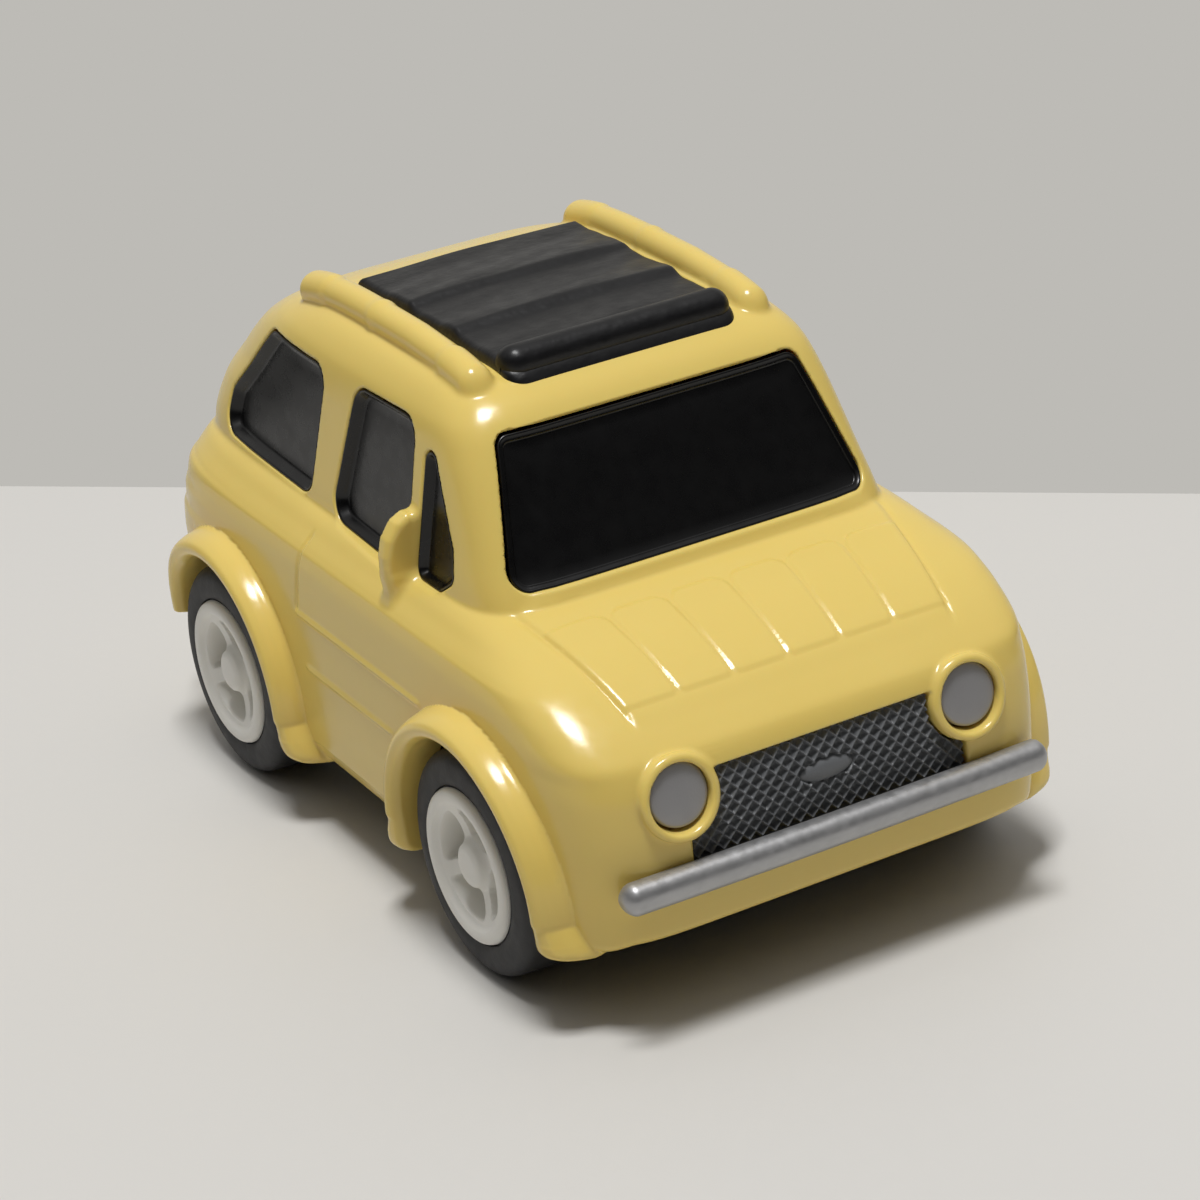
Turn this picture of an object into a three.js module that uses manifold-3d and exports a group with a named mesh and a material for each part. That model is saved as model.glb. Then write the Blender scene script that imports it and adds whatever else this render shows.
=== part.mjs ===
// A pullback toy car: a moulded shell with black windows, over a base plate that carries a spring motor
// on the rear axle.
// Millimetres. +X is forward, +Y is the car's left and +Z is up. The tyres stand on z = 0.
import * as THREE from 'three';
import { mergeVertices } from 'three/addons/utils/BufferGeometryUtils.js';
import Module from 'manifold-3d';

// Shell
const NOSE_REACH = 20.9;
const TAIL_REACH = 21.1;
const HALF_WIDTH = 12.25;
const ROOF_HEIGHT = 24.5;
const WALL = 1.1;
const NOSE_WALL = 1.9;
const GAP = 0.2;
const PANE_RECESS = 0.45;
const WINDOW_CORNER = 0.9;
const INSERT_WALL = 1;
const INSERT_SECTION = 14;
// Wheels
const WHEELBASE = 24;
const FRONT_AXLE_X = 11.6;
const TYRE_RADIUS = 5.2;
const TYRE_WIDTH = 4;
const TYRE_PROUD = 0.6;
const RIM_RADIUS = 3.55;
const AXLE_RADIUS = 0.75;
const RUNNING_GAP = 0.08;
const PRESS_GAP = 0.03;
const SPOKES = 4;
// Wheel arches
const ARCH_GAP = 0.6;
const FLARE_WIDTH = 1.5;
const FLARE_PROUD = 1.4;
const FLARE_FOOT = 1.2;
const SILL_HEIGHT = 3.3;
// Trim
const LAMP_RADIUS = 1.42;
const LAMP_Y = 7.24;
const LAMP_Z = 10.5;
const LAMP_RING = 0.5;
const TAIL_LAMP_RADIUS = 1.15;
const TAIL_LAMP_Y = 8.7;
const BUMPER_Z = 6.95;
const BUMPER_HEIGHT = 1.35;
const BUMPER_DEPTH = 0.85;
const BUMPER_HALF_LENGTH = 10.9;
const BUMPER_PEG_Y = 5.6;
const PEG_RADIUS = 0.55;
const RAIL_Y = 7;
const RAIL_RADIUS = 0.78;
const CANVAS_SINK = 0.3;
const CANVAS_HALF_WIDTH = 5.82;
const CANVAS_ROLL = 0.72;
// Base plate
const PLATE_BOTTOM = 2.7;
const PLATE_TOP = 3.9;
const PLATE_INSET = 1.95;
const BEARING_INSET = 1.95;
// Motor
const GEAR_MODULE = 0.4;
const PINION_TEETH = 8;
const WHEEL_TEETH = 20;
const GEAR_WIDTH = 1.8;
const IDLER_RISE = 24;
const SPRING_RISE = 12;
const CASE_WALL = 0.6;
const CASE_HALF_WIDTH = 5.3;
const CASE_SPLIT = -2.3;
const PIN_RADIUS = 0.5;
const ARBOR_RADIUS = 1.2;
const SPRING_THICKNESS = 0.3;
const SPRING_TURNS = 3;

// The shell's form: height, nose, tail and half width of each plan section, then how square its nose
// and its tail are.
const SECTIONS = [
  [3.2, 20.1, 20.4, 11.75, 9, 6.5],
  [3.8, 20.6, 20.8, 12.0, 9, 6.5],
  [6.0, 20.9, 21.05, 12.2, 9, 7],
  [8.5, 20.85, 21.1, 12.25, 9, 7.5],
  [10.5, 20.6, 21.05, 12.25, 9, 8],
  [11.5, 20.3, 20.95, 12.22, 9, 8],
  [12.1, 19.85, 20.85, 12.2, 9, 7.5],
  [12.7, 19.1, 20.8, 12.16, 9, 7.5],
  [13.3, 18.1, 20.7, 12.1, 9, 7],
  [13.9, 16.7, 20.6, 12.0, 9, 7],
  [14.5, 15.0, 20.5, 11.65, 9, 6.5],
  [15.0, 13.5, 20.4, 11.25, 9, 6.5],
  [15.4, 12.5, 20.25, 10.88, 9, 6.5],
  [15.7, 12.0, 20.1, 10.55, 8.5, 6.5],
  [16.1, 11.55, 20.05, 10.38, 8.5, 7],
  [18.0, 10.45, 19.3, 10.06, 8.5, 6.5],
  [20.0, 9.3, 17.9, 9.72, 8.5, 5.2],
  [21.6, 8.4, 16.1, 9.42, 8, 5],
  [22.6, 7.75, 14.4, 9.14, 7.5, 5],
  [23.3, 7.1, 12.9, 8.7, 7, 5],
  [23.9, 6.1, 11.1, 8.05, 6.5, 5],
  [24.3, 4.9, 9.3, 7.2, 6, 5],
  [24.5, 3.8, 8.0, 6.4, 6, 5],
];
const NOMINAL = [24.5, 20.9, 21.1, 12.25];
const BROW = 12;

const wasm = await Module();
wasm.setup();
const { Manifold, Mesh } = wasm;

const REAR_AXLE_X = FRONT_AXLE_X - WHEELBASE;
const HIGH = ROOF_HEIGHT / NOMINAL[0];
const WIDE = HALF_WIDTH / NOMINAL[3];
const ARCH_RADIUS = TYRE_RADIUS + ARCH_GAP;
const TYRE_FACE = HALF_WIDTH + TYRE_PROUD;
const CANVAS_FLOOR = ROOF_HEIGHT - CANVAS_SINK;
const PLATE_HALF_WIDTH = HALF_WIDTH - PLATE_INSET;
const BEARING_Y = TYRE_FACE - TYRE_WIDTH - BEARING_INSET;

const paint = (color, roughness, metalness = 0) =>
  new THREE.MeshStandardMaterial({ color, roughness, metalness });
const YELLOW = paint(0xe2c765, 0.38);
const BLACK_GLOSS = paint(0x0b0b0c, 0.12);
const CANVAS = paint(0x17181a, 0.62);
const GRILLE_GREY = paint(0x4c4f52, 0.55);
const SILVER = paint(0xb9bbbd, 0.35, 0.8);
const RED = paint(0x9c1f1a, 0.3);
const WHITE = paint(0xe8e6df, 0.45);
const RUBBER = paint(0x2b2b2d, 0.75);
const STEEL = paint(0x9a9da0, 0.35, 1);
const PLATE_BLACK = paint(0x1c1c1e, 0.6);
const NYLON = paint(0xd9d4c4, 0.5);

/** Solid of a closed geometry, turned to face out. */
function solid(geometry) {
  const bare = new THREE.BufferGeometry();
  const loose = geometry.index ? geometry.toNonIndexed() : geometry;
  bare.setAttribute('position', loose.getAttribute('position'));
  const merged = mergeVertices(bare, 1e-4);
  const index = merged.index.array;
  const kept = [];
  for (let i = 0; i < index.length; i += 3) {
    const [a, b, c] = [index[i], index[i + 1], index[i + 2]];
    if (a !== b && b !== c && c !== a) kept.push(a, b, c);
  }
  const points = merged.attributes.position.array;
  const make = (faces) =>
    new Manifold(new Mesh({ numProp: 3, vertProperties: points, triVerts: new Uint32Array(faces) }));
  const made = make(kept);
  return made.volume() > 0 ? made : make(kept.reverse());
}

/** Mesh of a solid. */
function node(name, body, material) {
  const mesh = body.getMesh();
  const geometry = new THREE.BufferGeometry();
  geometry.setAttribute('position', new THREE.BufferAttribute(mesh.vertProperties, 3));
  geometry.setIndex(new THREE.BufferAttribute(mesh.triVerts, 1));
  const flat = geometry.toNonIndexed();
  flat.computeVertexNormals();
  const made = new THREE.Mesh(flat, material);
  made.name = name;
  return made;
}

const join = (first, ...rest) => rest.reduce((sum, next) => sum.add(next), first);
const cut = (first, ...rest) => rest.reduce((left, next) => left.subtract(next), first);
const mirrored = (body) => body.scale([1, -1, 1]);
const both = (body) => join(body, mirrored(body));

/** Outline of [u, v] points carried from a to b along x (u is y), y (v is z) or z. */
function prism(outline, axis, a, b) {
  const shape = new THREE.Shape(outline.map(([u, v]) => new THREE.Vector2(u, v)));
  const geometry = new THREE.ExtrudeGeometry(shape, { depth: b - a, bevelEnabled: false });
  geometry.translate(0, 0, axis === 'y' ? -b : a);
  const turn = new THREE.Matrix4();
  if (axis === 'x') turn.set(0, 0, 1, 0, 1, 0, 0, 0, 0, 1, 0, 0, 0, 0, 0, 1);
  if (axis === 'y') turn.set(1, 0, 0, 0, 0, 0, -1, 0, 0, 1, 0, 0, 0, 0, 0, 1);
  return solid(geometry.applyMatrix4(turn));
}

/** Box between two corners. */
function box([x0, y0, z0], [x1, y1, z1]) {
  const outline = [[x0, y0], [x1, y0], [x1, y1], [x0, y1]];
  return prism(outline, 'z', z0, z1);
}

/** Circle of n points [u, v]. */
function circle(u, v, radius, n) {
  return Array.from({ length: n }, (_, i) => {
    const turn = (2 * Math.PI * i) / n;
    return [u + radius * Math.cos(turn), v + radius * Math.sin(turn)];
  });
}

/** Round bar along an axis. */
const rod = (axis, u, v, radius, a, b, n = 8) => prism(circle(u, v, radius, n), axis, a, b);

/** Profile of [radius, y] points turned about the Y axis; a profile clear of the axis is closed to a ring. */
function revolve(profile, segments) {
  const points = profile.map(([r, y]) => new THREE.Vector2(r, y));
  if (profile[0][0] > 0) points.push(points[0].clone());
  return solid(new THREE.LatheGeometry(points, segments));
}

/** Rings of equal length joined in order, with the first and the last closed. */
function loft(rings) {
  const n = rings[0].length;
  const points = rings.flat(2);
  const faces = [];
  rings.slice(1).forEach((_, k) => {
    for (let i = 0; i < n; i += 1) {
      const [a, b] = [k * n + i, k * n + ((i + 1) % n)];
      faces.push(a, b, b + n, a, b + n, a + n);
    }
  });
  [0, rings.length - 1].forEach((k) => {
    const middle = points.length / 3;
    [0, 1, 2].forEach((axis) => points.push(rings[k].reduce((sum, p) => sum + p[axis], 0) / n));
    for (let i = 0; i < n; i += 1) {
      const [a, b] = [k * n + i, k * n + ((i + 1) % n)];
      faces.push(...(k === 0 ? [b, a, middle] : [a, b, middle]));
    }
  });
  const geometry = new THREE.BufferGeometry();
  geometry.setAttribute('position', new THREE.BufferAttribute(new Float32Array(points), 3));
  geometry.setIndex(faces);
  return solid(geometry);
}

/** Convex outline moved inwards by d; it runs anticlockwise. */
function inset(outline, d) {
  const n = outline.length;
  return outline.map((p, i) => {
    const before = outline[(i + n - 1) % n];
    const after = outline[(i + 1) % n];
    const side = ([x0, y0], [x1, y1]) => {
      const long = Math.hypot(x1 - x0, y1 - y0);
      return [-(y1 - y0) / long, (x1 - x0) / long];
    };
    const [a, b] = [side(before, p), side(p, after)];
    const share = d / (1 + a[0] * b[0] + a[1] * b[1]);
    return [p[0] + share * (a[0] + b[0]), p[1] + share * (a[1] + b[1])];
  });
}

/** Convex outline with each corner rounded over the given reach along its sides. */
function rounded(outline, reach, steps = 2) {
  const n = outline.length;
  return outline.flatMap((p, i) => {
    const toward = (q) => {
      const long = Math.hypot(q[0] - p[0], q[1] - p[1]);
      const share = Math.min(reach, long * 0.45) / long;
      return [p[0] + (q[0] - p[0]) * share, p[1] + (q[1] - p[1]) * share];
    };
    const [a, b] = [toward(outline[(i + n - 1) % n]), toward(outline[(i + 1) % n])];
    return Array.from({ length: steps + 1 }, (_, k) => {
      const t = k / steps;
      const mix = (j) => a[j] * (1 - t) ** 2 + 2 * p[j] * t * (1 - t) + b[j] * t * t;
      return [mix(0), mix(1)];
    });
  });
}

/** Convex hull of [u, v] points, anticlockwise. */
function hull(points) {
  const sorted = [...points].sort((a, b) => a[0] - b[0] || a[1] - b[1]);
  const half = (list) => list.reduce((chain, p) => {
    const turn = (a, b) => (b[0] - a[0]) * (p[1] - a[1]) - (b[1] - a[1]) * (p[0] - a[0]);
    while (chain.length > 1 && turn(chain.at(-2), chain.at(-1)) <= 1e-9) chain.pop();
    chain.push(p);
    return chain;
  }, []);
  return [...half(sorted).slice(0, -1), ...half(sorted.reverse()).slice(0, -1)];
}

// Shell form

/** Section sizes scaled to the shell. */
function section(row) {
  return [
    row[0] * HIGH,
    (row[1] * NOSE_REACH) / NOMINAL[1],
    (row[2] * TAIL_REACH) / NOMINAL[2],
    row[3] * WIDE,
    row[4],
    row[5],
  ];
}

/** Plan outline of a section: a rounded rectangle |x/a|^n + |y/b|^n = 1, moved in and down. */
function ring(row, moveIn, drop, quarter, noseExtra = 0) {
  const [z, nose, tail, half, squareNose, squareTail] = section(row);
  return Array.from({ length: 4 * quarter }, (_, i) => {
    const turn = (Math.PI * i) / (2 * quarter);
    const [c, s] = [Math.cos(turn), Math.sin(turn)];
    const power = 2 / (c >= -1e-9 ? squareNose : squareTail);
    const reach = c >= 0 ? nose - moveIn - (row[0] < BROW ? noseExtra : 0) : tail - moveIn;
    return [
      Math.sign(c) * reach * Math.abs(c) ** power,
      Math.sign(s) * (half - moveIn) * Math.abs(s) ** power,
      z - drop,
    ];
  });
}

/** Shell form moved in and down, from one section up. */
function form({ moveIn = 0, drop = 0, from = 0, quarter = 6, noseExtra = 0, below = 0, every = 1 }) {
  const rows = SECTIONS.filter((_, k) => k >= from && (SECTIONS.length - 1 - k) % every === 0);
  const rings = rows.map((row) => ring(row, moveIn, drop, quarter, noseExtra));
  if (below > 0) rings.unshift(rings[0].map(([x, y, z]) => [x, y, z - below]));
  return loft(rings);
}

/** Height of the shell's top over (x, y). */
function topHeight(x, y) {
  const rows = SECTIONS.map(section);
  const inside = ([, nose, tail, half, squareNose, squareTail]) => {
    const [reach, power] = x >= 0 ? [nose, squareNose] : [tail, squareTail];
    return Math.abs(x / reach) ** power + Math.abs(y / half) ** power - 1;
  };
  const k = rows.findIndex((row) => inside(row) > 0);
  if (k < 1) return rows.at(-1)[0];
  const [below, above] = [inside(rows[k - 1]), inside(rows[k])];
  return rows[k - 1][0] + ((rows[k][0] - rows[k - 1][0]) * -below) / (above - below);
}

const NOSE = NOSE_REACH / NOMINAL[1];
const TAIL = TAIL_REACH / NOMINAL[2];
const along = (x) => x * (x >= 0 ? NOSE : TAIL);
const across = ([y, z]) => [y * WIDE, z * HIGH];
const sideways = ([x, z]) => [along(x), z * HIGH];

// Windows: outlines seen from the side [x, z] and from the front or back [y, z]
const SIDE_WINDOWS = [
  [[-15.5, 16.35], [-6.05, 15.95], [-5.2, 22.1], [-11.4, 22.0], [-15.1, 18.0]],
  [[-3.9, 15.6], [3.45, 15.4], [3.45, 22.3], [-2.1, 22.2]],
  [[4.4, 15.6], [7.5, 15.75], [7.25, 17.65], [4.6, 22.2]],
].map((outline) => outline.map(sideways));
const WINDSCREEN = [[-8.8, 16.65], [8.8, 16.65], [7.25, 22.35], [-7.25, 22.35]].map(across);
const REAR_WINDOW = [[-7.4, 16.9], [7.4, 16.9], [6.3, 21.3], [-6.3, 21.3]].map(across);

/** All window prisms, moved in by the clearance. */
function windows(clearance, far) {
  const outline = (points) => rounded(inset(points, clearance), WINDOW_CORNER);
  const sides = SIDE_WINDOWS.map((points) => prism(outline(points), 'y', 4, far));
  return [
    ...sides,
    ...sides.map(mirrored),
    prism(outline(WINDSCREEN), 'x', along(3), along(far)),
    prism(outline(REAR_WINDOW), 'x', along(-far - 6), along(-10)),
  ];
}

// Nose trim outlines

/** Grille outline [y, z]: wider below, hollowed round each lamp ring. */
function grilleOutline(clearance) {
  const hollow = LAMP_RADIUS + LAMP_RING + 0.12 + clearance;
  const start = Math.PI - Math.asin((0.85 - clearance) / hollow);
  const right = Array.from({ length: 7 }, (_, i) => {
    const turn = start + ((4.4 - start) * i) / 6;
    return [LAMP_Y + hollow * Math.cos(turn), LAMP_Z + hollow * Math.sin(turn)];
  });
  const bottom = BUMPER_Z + BUMPER_HEIGHT / 2 - 0.05 + clearance;
  const half = [...right, [right.at(-1)[0] + 0.1, bottom]];
  return [...half.map(([y, z]) => [-y, z]), ...[...half].reverse()];
}

const GRILLE_BACK = NOSE_REACH - 0.95;
const LAMP_BACK = NOSE_REACH - 0.8;
const GRILLE_PEG = [3.2, LAMP_Z - 1.5];

/** Body of a disc lamp facing +Y with its peg behind. */
function lamp(radius) {
  return revolve([
    [0, -1.2], [PEG_RADIUS, -1.2], [PEG_RADIUS, 0], [radius, 0], [radius, 0.42],
    [radius * 0.9, 0.54], [0, 0.62],
  ], 14);
}

const facing = (body, turn, x, y, z) => body.rotate([0, 0, turn]).translate([x, y, z]);

/** Side flare round a wheel arch: a rounded bead with a foot at the sill. Behind the rear wheel it ends higher. */
function flare(x, outward) {
  const [r, y] = [ARCH_RADIUS, HALF_WIDTH];
  const [w, p] = [FLARE_WIDTH, FLARE_PROUD];
  const bead = revolve([
    [r, y - 1.2], [r, y + p * 0.6], [r + w * 0.18, y + p * 0.92], [r + w * 0.42, y + p],
    [r + w * 0.75, y + p * 0.72], [r + w, y - p * 0.1], [r + w, y - 1.2],
  ], 20).translate([x, 0, TYRE_RADIUS]);
  const reach = r + w + 1;
  const low = outward > 0 ? SILL_HEIGHT : TYRE_RADIUS + 0.8;
  const turned = (points, side) => {
    const outline = points.map(([u, v]) => [x + u * side, v]);
    return side > 0 ? outline : outline.reverse();
  };
  const kept = [
    [-reach, SILL_HEIGHT], [0, SILL_HEIGHT], [0, low], [reach, low], [reach, 4 * reach], [-reach, 4 * reach],
  ];
  const knee = TYRE_RADIUS - 0.1;
  const foot = ([at, spread, top]) => {
    const outline = [[r - 0.3, SILL_HEIGHT], [r + w + spread, SILL_HEIGHT], [r + w * 0.8, top], [r - 0.3, top]];
    return (side) => turned(outline, side).map(([u, v]) => [u, at, v]);
  };
  const block = [[y - 1.2, FLARE_FOOT, knee], [y - 0.1, FLARE_FOOT, knee], [y + p * 0.6, 0.1, knee - 0.3]].map(foot);
  const feet = (outward > 0 ? [1, -1] : [1]).map((side) => loft(block.map((ring) => ring(side))));
  const kerb = form({ moveIn: -FLARE_PROUD - 0.02, below: 3, every: 4 });
  const mask = prism(turned(kept, outward), 'y', y - 2, y + 3);
  return join(bead.intersect(mask), ...feet).intersect(kerb);
}

/** Roof rail: a round bar that follows the roof, with fuller rounded ends. */
function rail() {
  const [x0, x1] = [along(-10.8), along(5.9)];
  const shares = [0, 0.02, 0.06, 0.15, 0.5, 0.85, 0.94, 0.98, 1];
  const fat = [0.35, 0.85, 1.05, 0.92, 0.9, 0.92, 1.05, 0.85, 0.35];
  const rings = shares.map((t, k) => {
    const x = x0 + (x1 - x0) * t;
    const lift = Math.min(topHeight(x, RAIL_Y), CANVAS_FLOOR + 0.1) + 0.35 - 0.06 * Math.max(0, x);
    return circle(RAIL_Y, lift, RAIL_RADIUS * fat[k], 8).map(([y, z]) => [x, y, z]);
  });
  return loft(rings);
}

/** Door mirror: an upright rounded fin on the post between the door's two windows. */
function mirror() {
  const fin = [
    [9.9, 14.8], [11.1, 14.4], [11.45, 14.8], [11.75, 15.7], [11.8, 16.8],
    [11.6, 17.6], [11.1, 18.3], [10.5, 18.6], [9.85, 18.45],
  ].map(across);
  return prism(fin, 'x', along(3.3), along(4.3));
}

/** Shallow line pressed in the bonnet, from the screen's foot to the bonnet's brow. */
function bonnetLine(share) {
  const stations = Array.from({ length: 4 }, (_, i) => i / 3);
  const rings = stations.map((t) => {
    const x = along(12.5 + 6.2 * t);
    const y = share * (9.2 - 1.3 * t) * WIDE;
    const z = topHeight(x, y);
    return [[x, y - 0.22, z + 0.3], [x, y + 0.22, z + 0.3], [x, y + 0.1, z - 0.16], [x, y - 0.1, z - 0.16]];
  });
  return loft(rings);
}

/** Thin raised line along the door between the arches. */
function sideLine(z, proud) {
  const [x0, x1] = [REAR_AXLE_X + ARCH_RADIUS + 1.2, FRONT_AXLE_X - ARCH_RADIUS - 1.2];
  return both(box([x0, HALF_WIDTH - 0.5, z - 0.14], [x1, HALF_WIDTH + proud, z + 0.14]));
}

const BOSS = [FRONT_AXLE_X + 4.6, REAR_AXLE_X - 5];
const BOSS_HALF = 1.5;
const BOSS_TOP = PLATE_TOP + 4.2;
const CANVAS_PEGS = [-5, 2].map(along);
const BUMPER_PEG_HOLE = PEG_RADIUS + RUNNING_GAP;

function bodyShell() {
  const outer = form({});
  const noseExtra = NOSE_WALL - WALL;
  const cavity = form({ moveIn: WALL, drop: WALL, noseExtra, quarter: 4, below: 4, every: 2 });
  const wheels = [[FRONT_AXLE_X, 1], [REAR_AXLE_X, -1]];
  const flares = wheels.map(([x, outward]) => both(flare(x, outward)));
  const reach = HALF_WIDTH + 9;
  const arches = wheels.map(([x]) => rod('y', x, TYRE_RADIUS, ARCH_RADIUS, -reach, reach, 20));
  const rings = both(facing(revolve([
    [LAMP_RADIUS + 0.1, -0.5], [LAMP_RADIUS + 0.1, 0.18], [LAMP_RADIUS + 0.25, 0.3],
    [LAMP_RADIUS + LAMP_RING - 0.1, 0.22], [LAMP_RADIUS + LAMP_RING, -0.5],
  ], 14), -90, NOSE_REACH - 0.25, LAMP_Y, LAMP_Z));
  const sockets = both(join(
    rod('x', LAMP_Y, LAMP_Z, LAMP_RADIUS + GAP, LAMP_BACK, NOSE_REACH + 2, 14),
    rod('x', LAMP_Y, LAMP_Z, PEG_RADIUS + RUNNING_GAP, NOSE_REACH - 4, NOSE_REACH),
    rod('x', TAIL_LAMP_Y, LAMP_Z, TAIL_LAMP_RADIUS + GAP, -TAIL_REACH - 2, -TAIL_REACH + 0.75, 14),
    rod('x', TAIL_LAMP_Y, LAMP_Z, PEG_RADIUS + RUNNING_GAP, -TAIL_REACH, -TAIL_REACH + 4),
    rod('x', BUMPER_PEG_Y, BUMPER_Z, BUMPER_PEG_HOLE, NOSE_REACH - 4, NOSE_REACH + 2),
    rod('x', BUMPER_PEG_Y, BUMPER_Z, BUMPER_PEG_HOLE, -TAIL_REACH - 2, -TAIL_REACH + 4),
    rod('x', GRILLE_PEG[0], GRILLE_PEG[1], PEG_RADIUS + RUNNING_GAP, NOSE_REACH - 4, NOSE_REACH),
  ));
  const pocket = prism(grilleOutline(-GAP), 'x', GRILLE_BACK, NOSE_REACH + 2);
  const canvasBed = box(
    [along(-8.5), -CANVAS_HALF_WIDTH - GAP, CANVAS_FLOOR],
    [along(5.9), CANVAS_HALF_WIDTH + GAP, CANVAS_FLOOR + 3],
  );
  const chin = prism(
    [[-10.8, 2], [10.8, 2], [10.8, 3.2], [8.2, 3.7], [-8.2, 3.7], [-10.8, 3.2]].map(across),
    'x', NOSE_REACH - 3.4, NOSE_REACH + 3,
  );
  const pegHole = PEG_RADIUS + RUNNING_GAP;
  const canvasHoles = CANVAS_PEGS.map((x) => rod('z', x, 0, pegHole, ROOF_HEIGHT - 4, ROOF_HEIGHT));
  const bosses = [
    box([BOSS[0] - BOSS_HALF, -BOSS_HALF, PLATE_TOP], [NOSE_REACH - 1, BOSS_HALF, BOSS_TOP]),
    box([-TAIL_REACH + 0.6, -BOSS_HALF, PLATE_TOP], [BOSS[1] + BOSS_HALF, BOSS_HALF, BOSS_TOP]),
  ];
  const bossHoles = BOSS.map((x) => rod('z', x, 0, PEG_RADIUS + RUNNING_GAP, PLATE_TOP - 1, BOSS_TOP - 0.6));
  const lines = [0.2, 0.6, 1].flatMap((share) => [bonnetLine(share), bonnetLine(-share)]);
  const hollow = cut(join(outer, ...flares, rings), cavity, ...arches);
  const raised = join(hollow, both(rail()), sideLine(11.25, 0.08), sideLine(8.55, 0.12), ...bosses);
  const openings = [...windows(0, 16), sockets, pocket, chin, canvasBed, ...canvasHoles, ...bossHoles, ...lines];
  const opened = cut(raised, ...openings);
  return join(opened, both(mirror()));
}

function windowInsert() {
  const moveIn = WALL + GAP;
  const dome = form({ moveIn, drop: moveIn, from: INSERT_SECTION, quarter: 4, every: 2 });
  const inner = moveIn + INSERT_WALL;
  const room = form({ moveIn: inner, drop: inner, from: INSERT_SECTION - 1, quarter: 4, below: 4, every: 2 });
  const flush = form({ moveIn: PANE_RECESS, drop: PANE_RECESS, from: INSERT_SECTION - 2, every: 2 });
  const panes = windows(GAP, 16).map((pane) => pane.intersect(flush));
  return cut(join(dome, ...panes), room);
}

function canvasRoof() {
  const z = CANVAS_FLOOR;
  const roll = along(4.9);
  const back = along(-8.25);
  const bump = (x) => [[x - 0.8, z + 0.5], [x - 0.35, z + 0.68], [x + 0.35, z + 0.68], [x + 0.8, z + 0.5]];
  const curl = Array.from({ length: 7 }, (_, i) => {
    const turn = (Math.PI * (7.2 - i * 1.2)) / 8;
    return [roll + CANVAS_ROLL * Math.cos(turn), z + 0.2 + CANVAS_ROLL * Math.sin(turn)];
  });
  const side = [
    [back, z], [back, z + 0.4], [back + 0.2, z + 0.55], ...bump(along(-3.6)), ...bump(along(0.6)), ...curl,
    [roll + CANVAS_ROLL, z],
  ];
  const sheet = prism(side.reverse(), 'y', -CANVAS_HALF_WIDTH, CANVAS_HALF_WIDTH);
  const pegs = CANVAS_PEGS.map((x) => rod('z', x, 0, PEG_RADIUS, z - 0.75, z + 0.1));
  return join(sheet, ...pegs);
}

function grille() {
  const plate = prism(grilleOutline(0), 'x', GRILLE_BACK, NOSE_REACH + 2);
  const face = plate.intersect(form({ moveIn: 0.3 }));
  const badge = Array.from({ length: 16 }, (_, i) => {
    const turn = (Math.PI * i) / 8;
    return [1.35 * Math.cos(turn), LAMP_Z - 0.75 + 0.5 * Math.sin(turn)];
  });
  const boss = prism(badge, 'x', GRILLE_BACK, NOSE_REACH - 0.25);
  const pegs = both(rod('x', GRILLE_PEG[0], GRILLE_PEG[1], PEG_RADIUS, GRILLE_BACK - 0.8, GRILLE_BACK + 0.1));
  return join(face, boss, pegs);
}

/** Bumper bar facing +X: flat behind, rounded in front, with rounded ends and two pegs. */
function bumper(reach, depth, pegLength) {
  const stations = [-1, -0.98, -0.94, -0.5, 0, 0.5, 0.94, 0.98, 1];
  const fat = [0.4, 0.8, 1, 1, 1, 1, 1, 0.8, 0.4];
  const rings = stations.map((t, k) => {
    const back = reach - 0.12 * t * t;
    const tall = (BUMPER_HEIGHT / 2) * fat[k];
    const deep = depth * fat[k];
    const front = Array.from({ length: 7 }, (_, i) => {
      const turn = (Math.PI * (i - 3)) / 6;
      return [back + deep * (0.3 + 0.7 * Math.cos(turn)), BUMPER_Z + tall * Math.sin(turn)];
    });
    const outline = [[back, BUMPER_Z - tall], ...front, [back, BUMPER_Z + tall]];
    return outline.map(([x, z]) => [x, t * BUMPER_HALF_LENGTH, z]);
  });
  const pegs = both(rod('x', BUMPER_PEG_Y, BUMPER_Z, PEG_RADIUS, reach - pegLength, reach + 0.3));
  return join(loft(rings), pegs);
}

// Wheels

function tyre() {
  const [seat, r] = [RIM_RADIUS - 0.25 + PRESS_GAP, TYRE_RADIUS];
  const [out, back] = [TYRE_FACE, TYRE_FACE - TYRE_WIDTH];
  return revolve([
    [seat, back], [r - 0.5, back], [r, back + 0.6], [r, out - 0.8], [r - 0.2, out - 0.25], [r - 0.7, out],
    [RIM_RADIUS + 0.25, out], [RIM_RADIUS + PRESS_GAP, out - 0.2], [seat, out - 0.2],
  ], 20);
}

function hub() {
  const [out, rim] = [TYRE_FACE, RIM_RADIUS];
  const bore = AXLE_RADIUS + PRESS_GAP;
  const back = TYRE_FACE - TYRE_WIDTH + 0.4;
  const dish = revolve([
    [0, out - 0.9], [bore, out - 0.9], [bore, back], [rim - 0.25, back], [rim - 0.25, out - 0.15],
    [rim, out - 0.1], [rim - 0.1, out + 0.29], [rim * 0.86, out + 0.26], [rim * 0.78, out - 0.1],
    [rim * 0.7, out - 0.35], [rim * 0.34, out - 0.3], [rim * 0.3, out + 0.15], [0, out + 0.25],
  ], 16);
  const step = (2 * Math.PI) / SPOKES;
  const wedges = Array.from({ length: SPOKES }, (_, k) => {
    const spread = [-0.3, 0, 0.3].map((t) => (k + 0.8 + t) * step);
    const arc = (share) => spread.map((turn) => [rim * share * Math.cos(turn), rim * share * Math.sin(turn)]);
    return prism([...arc(0.68), ...arc(0.38).reverse()], 'y', out - 1.7, out + 1);
  });
  return cut(dish, ...wedges);
}

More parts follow.
